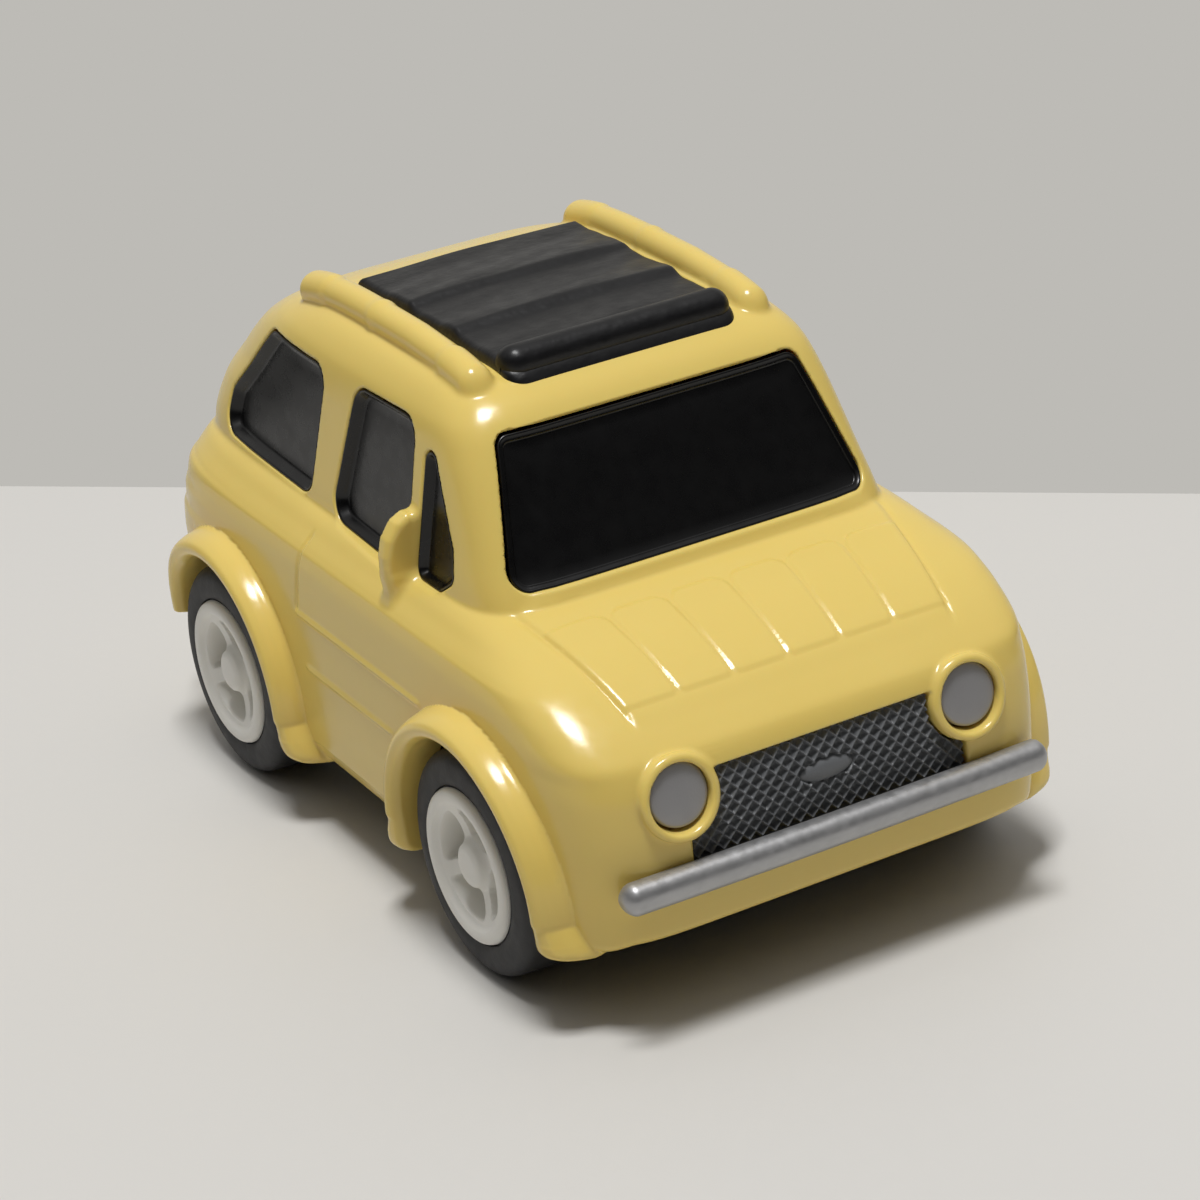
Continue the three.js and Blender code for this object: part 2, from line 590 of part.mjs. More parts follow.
const onAxle = (body, x) => body.translate([x, 0, TYRE_RADIUS]);

/** Steel axle between the blind bores of two hubs. */
function axle(x) {
  const reach = TYRE_FACE - 0.95;
  return rod('y', x, TYRE_RADIUS, AXLE_RADIUS, -reach, reach, 16);
}

// Motor

const pitchRadius = (teeth) => (GEAR_MODULE * teeth) / 2;
const tipRadius = (teeth) => pitchRadius(teeth) + 0.8 * GEAR_MODULE;
const STAGE = pitchRadius(PINION_TEETH) + pitchRadius(WHEEL_TEETH);
const radians = THREE.MathUtils.degToRad;
const AXLE = [REAR_AXLE_X, TYRE_RADIUS];
const stageFrom = ([x, z], rise) =>
  [x + STAGE * Math.cos(radians(rise)), z + STAGE * Math.sin(radians(rise))];
const IDLER = stageFrom(AXLE, IDLER_RISE);
const SPRING = stageFrom(IDLER, SPRING_RISE);
const OUTER_LAYER = CASE_SPLIT - 0.2 - GEAR_WIDTH;
const INNER_LAYER = CASE_SPLIT + 0.2;
const SPRING_LAYER = [INNER_LAYER + GEAR_WIDTH + 0.5, CASE_HALF_WIDTH - CASE_WALL - 0.4];

/** Phase of a gear that meshes with another one at the given direction from it. */
const meshPhase = (phase, direction, from, to) =>
  direction + Math.PI + Math.PI / to - ((phase - direction) * from) / to;
const IDLER_PHASE = meshPhase(0, radians(IDLER_RISE), PINION_TEETH, WHEEL_TEETH);
const SPRING_PHASE = meshPhase(0, radians(SPRING_RISE), PINION_TEETH, WHEEL_TEETH);

/** Toothed wheel about a point [x, z]. */
function gear([x, z], teeth, phase, a, b) {
  const pitch = (2 * Math.PI) / teeth;
  const radius = pitchRadius(teeth);
  const steps = [[-0.3, -1.05], [-0.1, 0.8], [0.1, 0.8], [0.3, -1.05]];
  const outline = Array.from({ length: teeth }, (_, k) => steps.map(([share, rise]) => {
    const turn = phase + (k + share) * pitch;
    const r = radius + rise * GEAR_MODULE;
    return [x + r * Math.cos(turn), z + r * Math.sin(turn)];
  })).flat();
  return prism(outline, 'y', a, b);
}

const bore = ([x, z], radius) => rod('y', x, z, radius, -HALF_WIDTH, HALF_WIDTH, 16);

function axlePinion() {
  const teeth = gear(AXLE, PINION_TEETH, 0, OUTER_LAYER, OUTER_LAYER + GEAR_WIDTH);
  return cut(teeth, bore(AXLE, AXLE_RADIUS + PRESS_GAP));
}

function idlerGear() {
  const wheel = gear(IDLER, WHEEL_TEETH, IDLER_PHASE, OUTER_LAYER, OUTER_LAYER + GEAR_WIDTH);
  const neck = rod('y', ...IDLER, pitchRadius(PINION_TEETH) * 0.7, OUTER_LAYER, INNER_LAYER + GEAR_WIDTH);
  const pinion = gear(IDLER, PINION_TEETH, 0, INNER_LAYER, INNER_LAYER + GEAR_WIDTH);
  return cut(join(wheel, neck, pinion), bore(IDLER, PIN_RADIUS + RUNNING_GAP));
}

function springGear() {
  const wheel = gear(SPRING, WHEEL_TEETH, SPRING_PHASE, INNER_LAYER, INNER_LAYER + GEAR_WIDTH);
  const arbor = rod('y', ...SPRING, ARBOR_RADIUS, INNER_LAYER, SPRING_LAYER[1]);
  const journal = rod('y', ...SPRING, AXLE_RADIUS, -CASE_HALF_WIDTH + 0.1, CASE_HALF_WIDTH - 0.1, 16);
  return join(wheel, arbor, journal);
}

/** Flat strip coiled round the arbor, from near the arbor out to the case. */
function mainspring() {
  const steps = 12 * SPRING_TURNS;
  const inside = ARBOR_RADIUS + SPRING_THICKNESS / 2 + 0.15;
  const outside = tipRadius(WHEEL_TEETH) - SPRING_THICKNESS / 2;
  const edge = (offset) => Array.from({ length: steps + 1 }, (_, i) => {
    const turn = (2 * Math.PI * SPRING_TURNS * i) / steps;
    const r = inside + ((outside - inside) * i) / steps + offset;
    return [SPRING[0] + r * Math.cos(turn), SPRING[1] + r * Math.sin(turn)];
  });
  const strip = [...edge(SPRING_THICKNESS / 2), ...edge(-SPRING_THICKNESS / 2).reverse()];
  return prism(strip, 'y', ...SPRING_LAYER);
}

const caseOutline = (extra) => hull([
  [AXLE, tipRadius(PINION_TEETH)], [IDLER, tipRadius(WHEEL_TEETH)], [SPRING, tipRadius(WHEEL_TEETH)],
].flatMap(([[x, z], radius]) => circle(x, z, radius + GAP + extra, 14)));
const CASE_OUTLINE = caseOutline(CASE_WALL);
const EARS = [AXLE[0] * 0.7 + SPRING[0] * 0.3, SPRING[0]];
const EAR_Y = CASE_HALF_WIDTH + 0.8;

/** One half of the motor case, open at the split. */
function caseHalf(wallY, side) {
  const [a, b] = side > 0 ? [CASE_SPLIT, wallY] : [wallY, CASE_SPLIT];
  const [c, d] = side > 0 ? [CASE_SPLIT - 1, wallY - CASE_WALL] : [wallY + CASE_WALL, CASE_SPLIT + 1];
  const shell = cut(prism(CASE_OUTLINE, 'y', a, b), prism(caseOutline(0), 'y', c, d));
  const ears = EARS.map((x) => {
    const [y0, y1] = side > 0 ? [wallY - 0.3, wallY + 1.6] : [wallY - 1.6, wallY + 0.3];
    const ear = box([x - 1.1, y0, PLATE_TOP], [x + 1.1, y1, PLATE_TOP + 1]);
    return cut(ear, rod('z', x, side * EAR_Y, PIN_RADIUS + RUNNING_GAP, PLATE_TOP - 1, PLATE_TOP + 2, 10));
  });
  const bores = [
    bore(AXLE, AXLE_RADIUS + RUNNING_GAP),
    bore(SPRING, AXLE_RADIUS + RUNNING_GAP),
    bore(IDLER, PIN_RADIUS + PRESS_GAP),
  ];
  return cut(join(shell, ...ears), ...bores);
}

const idlerPin = () => rod('y', ...IDLER, PIN_RADIUS, -CASE_HALF_WIDTH, CASE_HALF_WIDTH);

// Base plate

function chassis() {
  const reach = ARCH_RADIUS + 0.4;
  const narrow = TYRE_FACE - TYRE_WIDTH - 0.7;
  const front = FRONT_AXLE_X + 6.3;
  const back = REAR_AXLE_X - 6.4;
  const half = [
    [front, narrow - 1], [front - 1, narrow],
    [FRONT_AXLE_X - reach, narrow], [FRONT_AXLE_X - reach, PLATE_HALF_WIDTH],
    [REAR_AXLE_X + reach, PLATE_HALF_WIDTH], [REAR_AXLE_X + reach, narrow],
    [back + 1, narrow], [back, narrow - 1],
  ];
  const outline = [...half, ...half.map(([x, y]) => [x, -y]).reverse()];
  const plate = prism(outline, 'z', PLATE_BOTTOM, PLATE_TOP);
  const xs = CASE_OUTLINE.map(([x]) => x);
  const opening = box(
    [Math.min(...xs) - GAP, -CASE_HALF_WIDTH - GAP, PLATE_BOTTOM - 1],
    [Math.max(...xs) + GAP, CASE_HALF_WIDTH + GAP, PLATE_TOP + 1],
  );
  const [w, top] = [AXLE_RADIUS + 0.9, TYRE_RADIUS + AXLE_RADIUS + 0.9];
  const bearing = both(box(
    [FRONT_AXLE_X - w, BEARING_Y - 0.7, PLATE_TOP - 0.3], [FRONT_AXLE_X + w, BEARING_Y + 0.7, top],
  ));
  const bossPegs = BOSS.map((x) => rod('z', x, 0, PEG_RADIUS, PLATE_TOP - 0.3, PLATE_TOP + 3));
  const earPegs = EARS.map((x) => both(rod('z', x, EAR_Y, PIN_RADIUS, PLATE_TOP - 0.3, PLATE_TOP + 1.3, 10)));
  const axleBore = bore([FRONT_AXLE_X, TYRE_RADIUS], AXLE_RADIUS + RUNNING_GAP);
  return join(cut(join(plate, bearing), opening, axleBore), ...bossPegs, ...earPegs);
}

// Assembly

const car = new THREE.Group();
const FRONT_LAMP = facing(lamp(LAMP_RADIUS), -90, LAMP_BACK, LAMP_Y, LAMP_Z);
const TAIL_LAMP = facing(lamp(TAIL_LAMP_RADIUS), 90, -TAIL_REACH + 0.75, TAIL_LAMP_Y, LAMP_Z);
car.add(
  node('body_shell', bodyShell(), YELLOW),
  node('window_insert', windowInsert(), BLACK_GLOSS),
  node('canvas_roof', canvasRoof(), CANVAS),
  node('grille', grille(), GRILLE_GREY),
  node('headlamp_left', FRONT_LAMP, SILVER),
  node('headlamp_right', mirrored(FRONT_LAMP), SILVER),
  node('tail_lamp_left', TAIL_LAMP, RED),
  node('tail_lamp_right', mirrored(TAIL_LAMP), RED),
  node('front_bumper', bumper(NOSE_REACH + 0.1, BUMPER_DEPTH + 0.15, 1.45), SILVER),
  node('rear_bumper', bumper(TAIL_REACH + 0.05, BUMPER_DEPTH, 1.2).rotate([0, 0, 180]), SILVER),
  node('chassis', chassis(), PLATE_BLACK),
  node('motor_case_left', caseHalf(CASE_HALF_WIDTH, 1), PLATE_BLACK),
  node('motor_case_right', caseHalf(-CASE_HALF_WIDTH, -1), PLATE_BLACK),
  node('mainspring', mainspring(), STEEL),
  node('spring_gear', springGear(), NYLON),
  node('idler_gear', idlerGear(), NYLON),
  node('idler_pin', idlerPin(), STEEL),
  node('axle_pinion', axlePinion(), NYLON),
);
[['front', FRONT_AXLE_X], ['rear', REAR_AXLE_X]].forEach(([end, x]) => {
  const [left, leftTyre] = [onAxle(hub(), x), onAxle(tyre(), x)];
  car.add(
    node(`${end}_axle`, axle(x), STEEL),
    node(`${end}_hub_left`, left, WHITE),
    node(`${end}_hub_right`, mirrored(left), WHITE),
    node(`${end}_tyre_left`, leftTyre, RUBBER),
    node(`${end}_tyre_right`, mirrored(leftTyre), RUBBER),
  );
});

export default car;
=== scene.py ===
"""Dresses a pullback toy car: moulded shell, black windows, canvas roof, foil bumpers, wheels and light.

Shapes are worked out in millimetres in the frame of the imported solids, +X forward, +Y to the car's left and
+Z up, and go into their meshes in metres.
"""

from __future__ import annotations

import logging
import math
from dataclasses import dataclass, field
from enum import Enum
from functools import partial
from typing import Callable, Sequence

import bmesh
import bpy
import numpy as np
from mathutils import Matrix, Vector

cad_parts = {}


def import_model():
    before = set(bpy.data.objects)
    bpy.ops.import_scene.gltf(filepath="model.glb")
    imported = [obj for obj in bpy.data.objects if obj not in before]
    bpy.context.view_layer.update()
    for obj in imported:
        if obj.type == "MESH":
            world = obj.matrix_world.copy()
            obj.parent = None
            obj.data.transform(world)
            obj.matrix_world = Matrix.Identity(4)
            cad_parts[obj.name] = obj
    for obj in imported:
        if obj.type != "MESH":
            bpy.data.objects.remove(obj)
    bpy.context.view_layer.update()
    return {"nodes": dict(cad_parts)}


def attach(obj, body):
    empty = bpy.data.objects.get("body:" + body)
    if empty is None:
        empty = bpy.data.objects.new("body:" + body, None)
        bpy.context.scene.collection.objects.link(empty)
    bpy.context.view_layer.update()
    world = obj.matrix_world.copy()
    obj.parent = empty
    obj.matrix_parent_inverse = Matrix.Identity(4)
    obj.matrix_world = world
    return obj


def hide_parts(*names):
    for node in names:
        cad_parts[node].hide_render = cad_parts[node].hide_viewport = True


LOG = logging.getLogger("toy_car")
MM = 0.001
MERGE_M = 1e-7
SLIVER_M = 1e-8
SHARP_ANGLE = math.radians(42)
Array = np.ndarray
Field = Callable[[Array], Array]


class Body(Enum):
    """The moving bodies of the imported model."""

    CAR = "car"
    FRONT = "front_wheels"
    REAR = "rear_wheels"


class Slot(Enum):
    """The record's material slots that new pieces use."""

    SHELL = "shell"
    WINDOWS = "windows"
    CANVAS = "canvas"
    GRILLE = "grille"
    LAMP_SILVER = "lamp_silver"
    LAMP_RED = "lamp_red"
    FOIL = "foil"
    HUB = "hub"
    TYRE = "tyre"


def linear(hex_colour: str) -> tuple[float, float, float, float]:
    """Linear colour of an sRGB hex value.

    Args:
        hex_colour: Six hex digits.

    Returns:
        Red, green, blue and alpha.
    """
    parts = np.array([int(hex_colour[k : k + 2], 16) for k in (0, 2, 4)]) / 255
    light = np.where(parts <= 0.04045, parts / 12.92, ((parts + 0.055) / 1.055) ** 2.4)
    return (*(float(v) for v in light), 1.0)


def smooth_min(a: Array, b: Array, reach: float) -> Array:
    """Lesser of two fields, with the crease between them filleted.

    Args:
        a: First field.
        b: Second field.
        reach: Width over which they blend, in mm.

    Returns:
        min(a, b) less h^2 times reach / 4, where h is 1 - |a - b| / reach, kept above zero.
    """
    near = np.maximum(reach - np.abs(a - b), 0) / reach
    return np.minimum(a, b) - near * near * (reach / 4)


def smooth_max(a: Array, b: Array, reach: float) -> Array:
    """Greater of two fields, with the edge between them rounded over the reach."""
    return -smooth_min(-a, -b, reach)


def smooth_step(low: float, high: float, at: Array) -> Array:
    """Rise from 0 at low to 1 at high, 3t^2 - 2t^3."""
    t = np.clip((at - low) / (high - low), 0, 1)
    return t * t * (3 - 2 * t)


def plateau(ends: Sequence[float], at: Array) -> Array:
    """Rise from 0 at the first end to 1 at the second, level to the third, and back to 0 at the fourth."""
    return smooth_step(ends[0], ends[1], at) * smooth_step(ends[3], ends[2], at)


class Monotone:
    """Smooth curve through knots that never overshoots them: a monotone cubic."""

    def __init__(self, knots: Sequence[float], values: Sequence[float]) -> None:
        """Works out the slope at each knot, the harmonic mean of its neighbours' slopes.

        Args:
            knots: Rising places.
            values: Value at each knot.
        """
        self.x = np.asarray(knots, float)
        self.y = np.asarray(values, float)
        self.h = np.diff(self.x)
        rise = np.diff(self.y) / self.h
        left, right = rise[:-1], rise[1:]
        same = left * right > 0
        safe_left, safe_right = np.where(same, left, 1), np.where(same, right, 1)
        w1, w2 = 2 * self.h[1:] + self.h[:-1], self.h[1:] + 2 * self.h[:-1]
        inner = np.where(same, (w1 + w2) / (w1 / safe_left + w2 / safe_right), 0)
        self.slope = np.concatenate([rise[:1], inner, rise[-1:]])

    def both(self, at: Array) -> tuple[Array, Array]:
        """Value and slope of the curve.

        Args:
            at: Places; those past the ends take the end value.

        Returns:
            The values and the slopes there.
        """
        at = np.clip(at, self.x[0], self.x[-1])
        k = np.clip(np.searchsorted(self.x, at) - 1, 0, len(self.h) - 1)
        h, t = self.h[k], (at - self.x[k]) / self.h[k]
        y0, y1, d0, d1 = self.y[k], self.y[k + 1], self.slope[k] * h, self.slope[k + 1] * h
        c2, c3 = 3 * (y1 - y0) - 2 * d0 - d1, 2 * (y0 - y1) + d0 + d1
        return y0 + t * (d0 + t * (c2 + t * c3)), (d0 + t * (2 * c2 + 3 * t * c3)) / h

    def __call__(self, at: Array) -> Array:
        """Value of the curve."""
        return self.both(np.asarray(at, float))[0]


@dataclass
class Surface:
    """Points in mm and the four-sided faces between them."""

    points: Array
    faces: Array

    @staticmethod
    def grid(rows: Array) -> Surface:
        """Faces between neighbouring rows of points, the last column joined to the first.

        Args:
            rows: Array of rows, columns and three coordinates.

        Returns:
            The surface.
        """
        r, c = rows.shape[:2]
        here = np.arange(r * c).reshape(r, c)
        ahead = np.roll(here, -1, 1)
        quads = np.stack([here[:-1], ahead[:-1], ahead[1:], here[1:]], -1)
        return Surface(rows.reshape(-1, 3), quads.reshape(-1, 4))

    @staticmethod
    def join(parts: Sequence[Surface]) -> Surface:
        """Several closed surfaces as one."""
        starts = np.cumsum([0] + [len(p.points) for p in parts[:-1]])
        faces = [p.faces + s for p, s in zip(parts, starts)]
        return Surface(np.concatenate([p.points for p in parts]), np.concatenate(faces))

    @staticmethod
    def slab(upper: Array, lower: Array) -> Surface:
        """Closed slab between two grids of points: each row goes out over the one and back under the other.

        Args:
            upper: Rows of points on the upper face.
            lower: Rows of points on the lower face.

        Returns:
            The slab, with its first and last row folded flat to close it.
        """
        rows = np.concatenate([upper, lower[:, ::-1]], 1)
        ends = [np.concatenate([row, row[::-1]])[None] for row in (lower[0], lower[-1])]
        return Surface.grid(np.concatenate([ends[0], rows, ends[1]]))

    def mirrored(self) -> Surface:
        """The same surface on the other side of the car."""
        return Surface(self.points * np.array([1, -1, 1]), self.faces[:, ::-1])


def new_mesh(name: str, surface: Surface) -> bpy.types.Mesh:
    """Mesh of a surface, in metres.

    Args:
        name: Name of the mesh.
        surface: Points and faces.

    Returns:
        The mesh.
    """
    mesh = bpy.data.meshes.new(name)
    count, sides = surface.faces.shape
    mesh.vertices.add(len(surface.points))
    mesh.vertices.foreach_set("co", (surface.points * MM).astype(np.float32).ravel())
    mesh.loops.add(count * sides)
    mesh.loops.foreach_set("vertex_index", surface.faces.astype(np.int32).ravel())
    mesh.polygons.add(count)
    mesh.polygons.foreach_set("loop_start", np.arange(0, count * sides, sides, dtype=np.int32))
    mesh.update(calc_edges=True)
    return mesh


def dress(mesh: bpy.types.Mesh, finish: Finish, body: Body, nodes: Sequence[str]) -> None:
    """Makes a mesh a piece of the car.

    Args:
        mesh: The piece's mesh, in place.
        finish: Its finish.
        body: The body that it rides on.
        nodes: The solids that it stands for.
    """
    piece = bpy.data.objects.new(mesh.name, mesh)
    bpy.context.scene.collection.objects.link(piece)
    mesh.materials.append(finish.material())
    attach(piece, body.value)
    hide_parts(*nodes)
    LOG.info("%s: %d faces", mesh.name, len(mesh.polygons))


def closed_piece(
    name: str, surface: Surface, finish: Finish, body: Body, nodes: Sequence[str]
) -> None:
    """Piece of one or more closed surfaces, with seams and poles merged and faces turned out.

    Args:
        name: Name of the piece.
        surface: Its surface.
        finish: Its finish.
        body: The body that it rides on.
        nodes: The solids that it stands for.
    """
    mesh = new_mesh(name, surface)
    shape = bmesh.new()
    shape.from_mesh(mesh)
    bmesh.ops.remove_doubles(shape, verts=shape.verts, dist=MERGE_M)
    bmesh.ops.dissolve_degenerate(shape, edges=shape.edges, dist=SLIVER_M)
    bmesh.ops.recalc_face_normals(shape, faces=shape.faces)
    shape.to_mesh(mesh)
    shape.free()
    mesh.polygons.foreach_set("use_smooth", np.ones(len(mesh.polygons), bool))
    mesh.set_sharp_from_angle(angle=SHARP_ANGLE)
    dress(mesh, finish, body, nodes)


def add_node(
    tree: bpy.types.NodeTree, kind: str, settings: dict | None = None, inputs: dict | None = None
) -> bpy.types.Node:
    """Adds a node with its settings and links.

    Args:
        tree: The material's node tree.
        kind: The node's type.
        settings: The node's own properties.
        inputs: Values of its sockets, or the sockets that feed them.

    Returns:
        The node.
    """
    node = tree.nodes.new(kind)
    for key, value in (settings or {}).items():
        setattr(node, key, value)
    for key, value in (inputs or {}).items():
        if isinstance(value, bpy.types.NodeSocket):
            tree.links.new(value, node.inputs[key])
        else:
            node.inputs[key].default_value = value
    return node


@dataclass(frozen=True)
class Finish:
    """A surface finish: two close colours in soft patches, an uneven gloss and a fine grain.

    Sizes are real ones in mm. A grain that is finer than a pixel of the render is drawn as coarse as it needs
    to show.
    """

    name: str
    colour: str
    patch_colour: str
    roughness: float
    patch_mm: float = 7.0
    gloss_mm: float = 0.8
    gloss_range: float = 0.05
    grain_mm: float = 0.35
    grain_depth_mm: float = 0.004
    ior: float = 1.5
    metallic: float = 0.0
    glow: float = 0.0
    glow_mm: tuple[float, float, float] = (1.0, 0.6, 0.25)

    def material(self) -> bpy.types.Material:
        """The finish's material, made once.

        Returns:
            The material.
        """
        made = bpy.data.materials.get(self.name)
        return made if made else self._build()

    def _build(self) -> bpy.types.Material:
        """Builds the nodes: noise in Object coordinates drives colour, roughness and bump.

        Returns:
            The new material.
        """
        made = bpy.data.materials.new(self.name)
        made.use_nodes = True
        tree = made.node_tree
        tree.nodes.clear()
        place = add_node(tree, "ShaderNodeTexCoord").outputs["Object"]
        shader = add_node(
            tree,
            "ShaderNodeBsdfPrincipled",
            inputs={
                "Metallic": self.metallic,
                "Subsurface Weight": self.glow,
                "Subsurface Radius": tuple(self.glow_mm),
                "Subsurface Scale": MM,
            },
        )
        if not self.metallic:
            shader.inputs["IOR"].default_value = self.ior
        tree.links.new(self._colour(tree, place), shader.inputs["Base Color"])
        gloss = add_node(
            tree,
            "ShaderNodeTexNoise",
            inputs={"Vector": place, "Scale": 1 / (self.gloss_mm * MM), "Detail": 3.0},
        )
        spread = add_node(
            tree,
            "ShaderNodeMapRange",
            inputs={
                "Value": gloss.outputs["Fac"],
                "From Min": 0.3,
                "From Max": 0.7,
                "To Min": max(self.roughness - self.gloss_range, 0.02),
                "To Max": self.roughness + self.gloss_range,
            },
        )
        tree.links.new(spread.outputs["Result"], shader.inputs["Roughness"])
        bump = add_node(
            tree,
            "ShaderNodeBump",
            inputs={
                "Strength": 1.0,
                "Distance": self.grain_depth_mm * MM,
                "Height": self._grain(tree, place),
            },
        )
        tree.links.new(bump.outputs["Normal"], shader.inputs["Normal"])
        add_node(tree, "ShaderNodeOutputMaterial", inputs={"Surface": shader.outputs["BSDF"]})
        return made

    def _colour(self, tree: bpy.types.NodeTree, place: bpy.types.NodeSocket) -> bpy.types.NodeSocket:
        """Soft patches of the two colours.

        Args:
            tree: The node tree.
            place: Object coordinates.

        Returns:
            The colour socket.
        """
        patch = add_node(
            tree,
            "ShaderNodeTexNoise",
            inputs={"Vector": place, "Scale": 1 / (self.patch_mm * MM), "Detail": 4.0},
        )
        mix = add_node(
            tree,
            "ShaderNodeMix",
            settings={"data_type": "RGBA"},
            inputs={0: patch.outputs["Fac"], 6: linear(self.colour), 7: linear(self.patch_colour)},
        )
        return mix.outputs[2]

    def _grain(self, tree: bpy.types.NodeTree, place: bpy.types.NodeSocket) -> bpy.types.NodeSocket:
        """Fine noise, the texture of the mould or the coat.

        Args:
            tree: The node tree.
            place: Object coordinates.

        Returns:
            The height socket.
        """
        grain = add_node(
            tree,
            "ShaderNodeTexNoise",
            inputs={"Vector": place, "Scale": 1 / (self.grain_mm * MM), "Detail": 4.0},
        )
        return grain.outputs["Fac"]


@dataclass(frozen=True)
class ClothGrain(Finish):
    """Moulded canvas: pressed threads crossed with long wrinkles."""

    thread_mm: float = 0.3

    def _grain(self, tree: bpy.types.NodeTree, place: bpy.types.NodeSocket) -> bpy.types.NodeSocket:
        """Noise stretched across the car for wrinkles, plus a cellular pebble of the thread's size.

        Args:
            tree: The node tree.
            place: Object coordinates.

        Returns:
            The height socket.
        """
        across = add_node(
            tree,
            "ShaderNodeMapping",
            inputs={"Vector": place, "Scale": (1.6, 0.55, 1.0), "Rotation": (0, 0, 0.12)},
        )
        wrinkle = add_node(
            tree,
            "ShaderNodeTexNoise",
            inputs={
                "Vector": across.outputs[0],
                "Scale": 1 / (self.grain_mm * MM),
                "Detail": 5.0,
                "Roughness": 0.6,
            },
        )
        pebble = add_node(
            tree,
            "ShaderNodeTexVoronoi",
            settings={"feature": "SMOOTH_F1"},
            inputs={"Vector": place, "Scale": 1 / (self.thread_mm * MM)},
        )
        total = add_node(
            tree,
            "ShaderNodeMath",
            settings={"operation": "MULTIPLY_ADD"},
            inputs={0: pebble.outputs["Distance"], 1: -0.5, 2: wrinkle.outputs["Fac"]},
        )
        return total.outputs[0]


# Injection-moulded ABS: pale warm yellow, a little light passes into it, small soft highlights.
YELLOW_ABS = Finish("moulded_yellow_abs", "EFD376", "EBCE6E", 0.2, glow=0.12, grain_depth_mm=0.0022)
# Moulded black styrene: near-black, with soft reflections at its edges.
BLACK_STYRENE = Finish(
    "gloss_black_styrene", "050506", "070708", 0.28, gloss_range=0.04, grain_depth_mm=0.0008, ior=1.45
)
# Black PVC with a moulded canvas grain: satin, lighter where light grazes it.
BLACK_CANVAS = ClothGrain(
    "moulded_black_canvas", "0E0E10", "141416", 0.38, grain_mm=0.55, grain_depth_mm=0.022, ior=1.43
)
# Satin grey paint over moulded ribs.
GREY_PAINT = Finish("satin_grey_paint", "6E7072", "626467", 0.42, grain_mm=0.12, grain_depth_mm=0.01)
# Matt silver paint: fine flake, broad dull reflections.
SILVER_PAINT = Finish(
    "matt_silver_paint",
    "A6A5A6",
    "9A999B",
    0.5,
    metallic=0.55,
    patch_mm=2.0,
    grain_mm=0.1,
    grain_depth_mm=0.006,
)
# Red styrene lens: clear gloss.
RED_LENS = Finish("gloss_red_styrene", "8E1410", "A01C15", 0.15, patch_mm=2.0, grain_depth_mm=0.001)
# Hot-stamped silver foil on plastic: dull silver, with slight ripples where it was pressed on.
SILVER_FOIL = Finish(
    "hot_stamped_silver_foil",
    "BABABB",
    "AAAAAB",
    0.42,
    metallic=0.75,
    patch_mm=1.5,
    gloss_mm=0.4,
    gloss_range=0.08,
    grain_mm=0.5,
    grain_depth_mm=0.01,
)
# Moulded white polypropylene: satin, slightly milky.
WHITE_PP = Finish("moulded_white_polypropylene", "F3F1EB", "EAE8E0", 0.42, glow=0.1, glow_mm=(0.6, 0.5, 0.4))
# Moulded rubber: dark grey, matt, with dust in its grain.
GREY_RUBBER = Finish(
    "moulded_grey_rubber",
    "222224",
    "2A2A2C",
    0.62,
    patch_mm=3.0,
    grain_mm=0.18,
    grain_depth_mm=0.012,
    ior=1.52,
)
# Black ABS for the base and the motor's case: satin, spark-eroded texture.
BLACK_ABS = Finish("textured_black_abs", "1B1B1D", "232325", 0.5, grain_mm=0.25, grain_depth_mm=0.01)
# Natural nylon gears: creamy and slick.
NYLON = Finish("natural_nylon", "D9D4C4", "CFC9B6", 0.38, patch_mm=2.0, glow=0.1)
# Drawn steel rod, bright with fine draw marks, and blued spring strip, darker and bluish.
DRAWN_STEEL = Finish("drawn_steel", "A9ABAE", "96999C", 0.3, metallic=1.0, patch_mm=1.0, grain_mm=0.2)
BLUED_STEEL = Finish("blued_spring_steel", "5A616B", "4A4F58", 0.32, metallic=1.0, patch_mm=1.5, grain_mm=0.2)


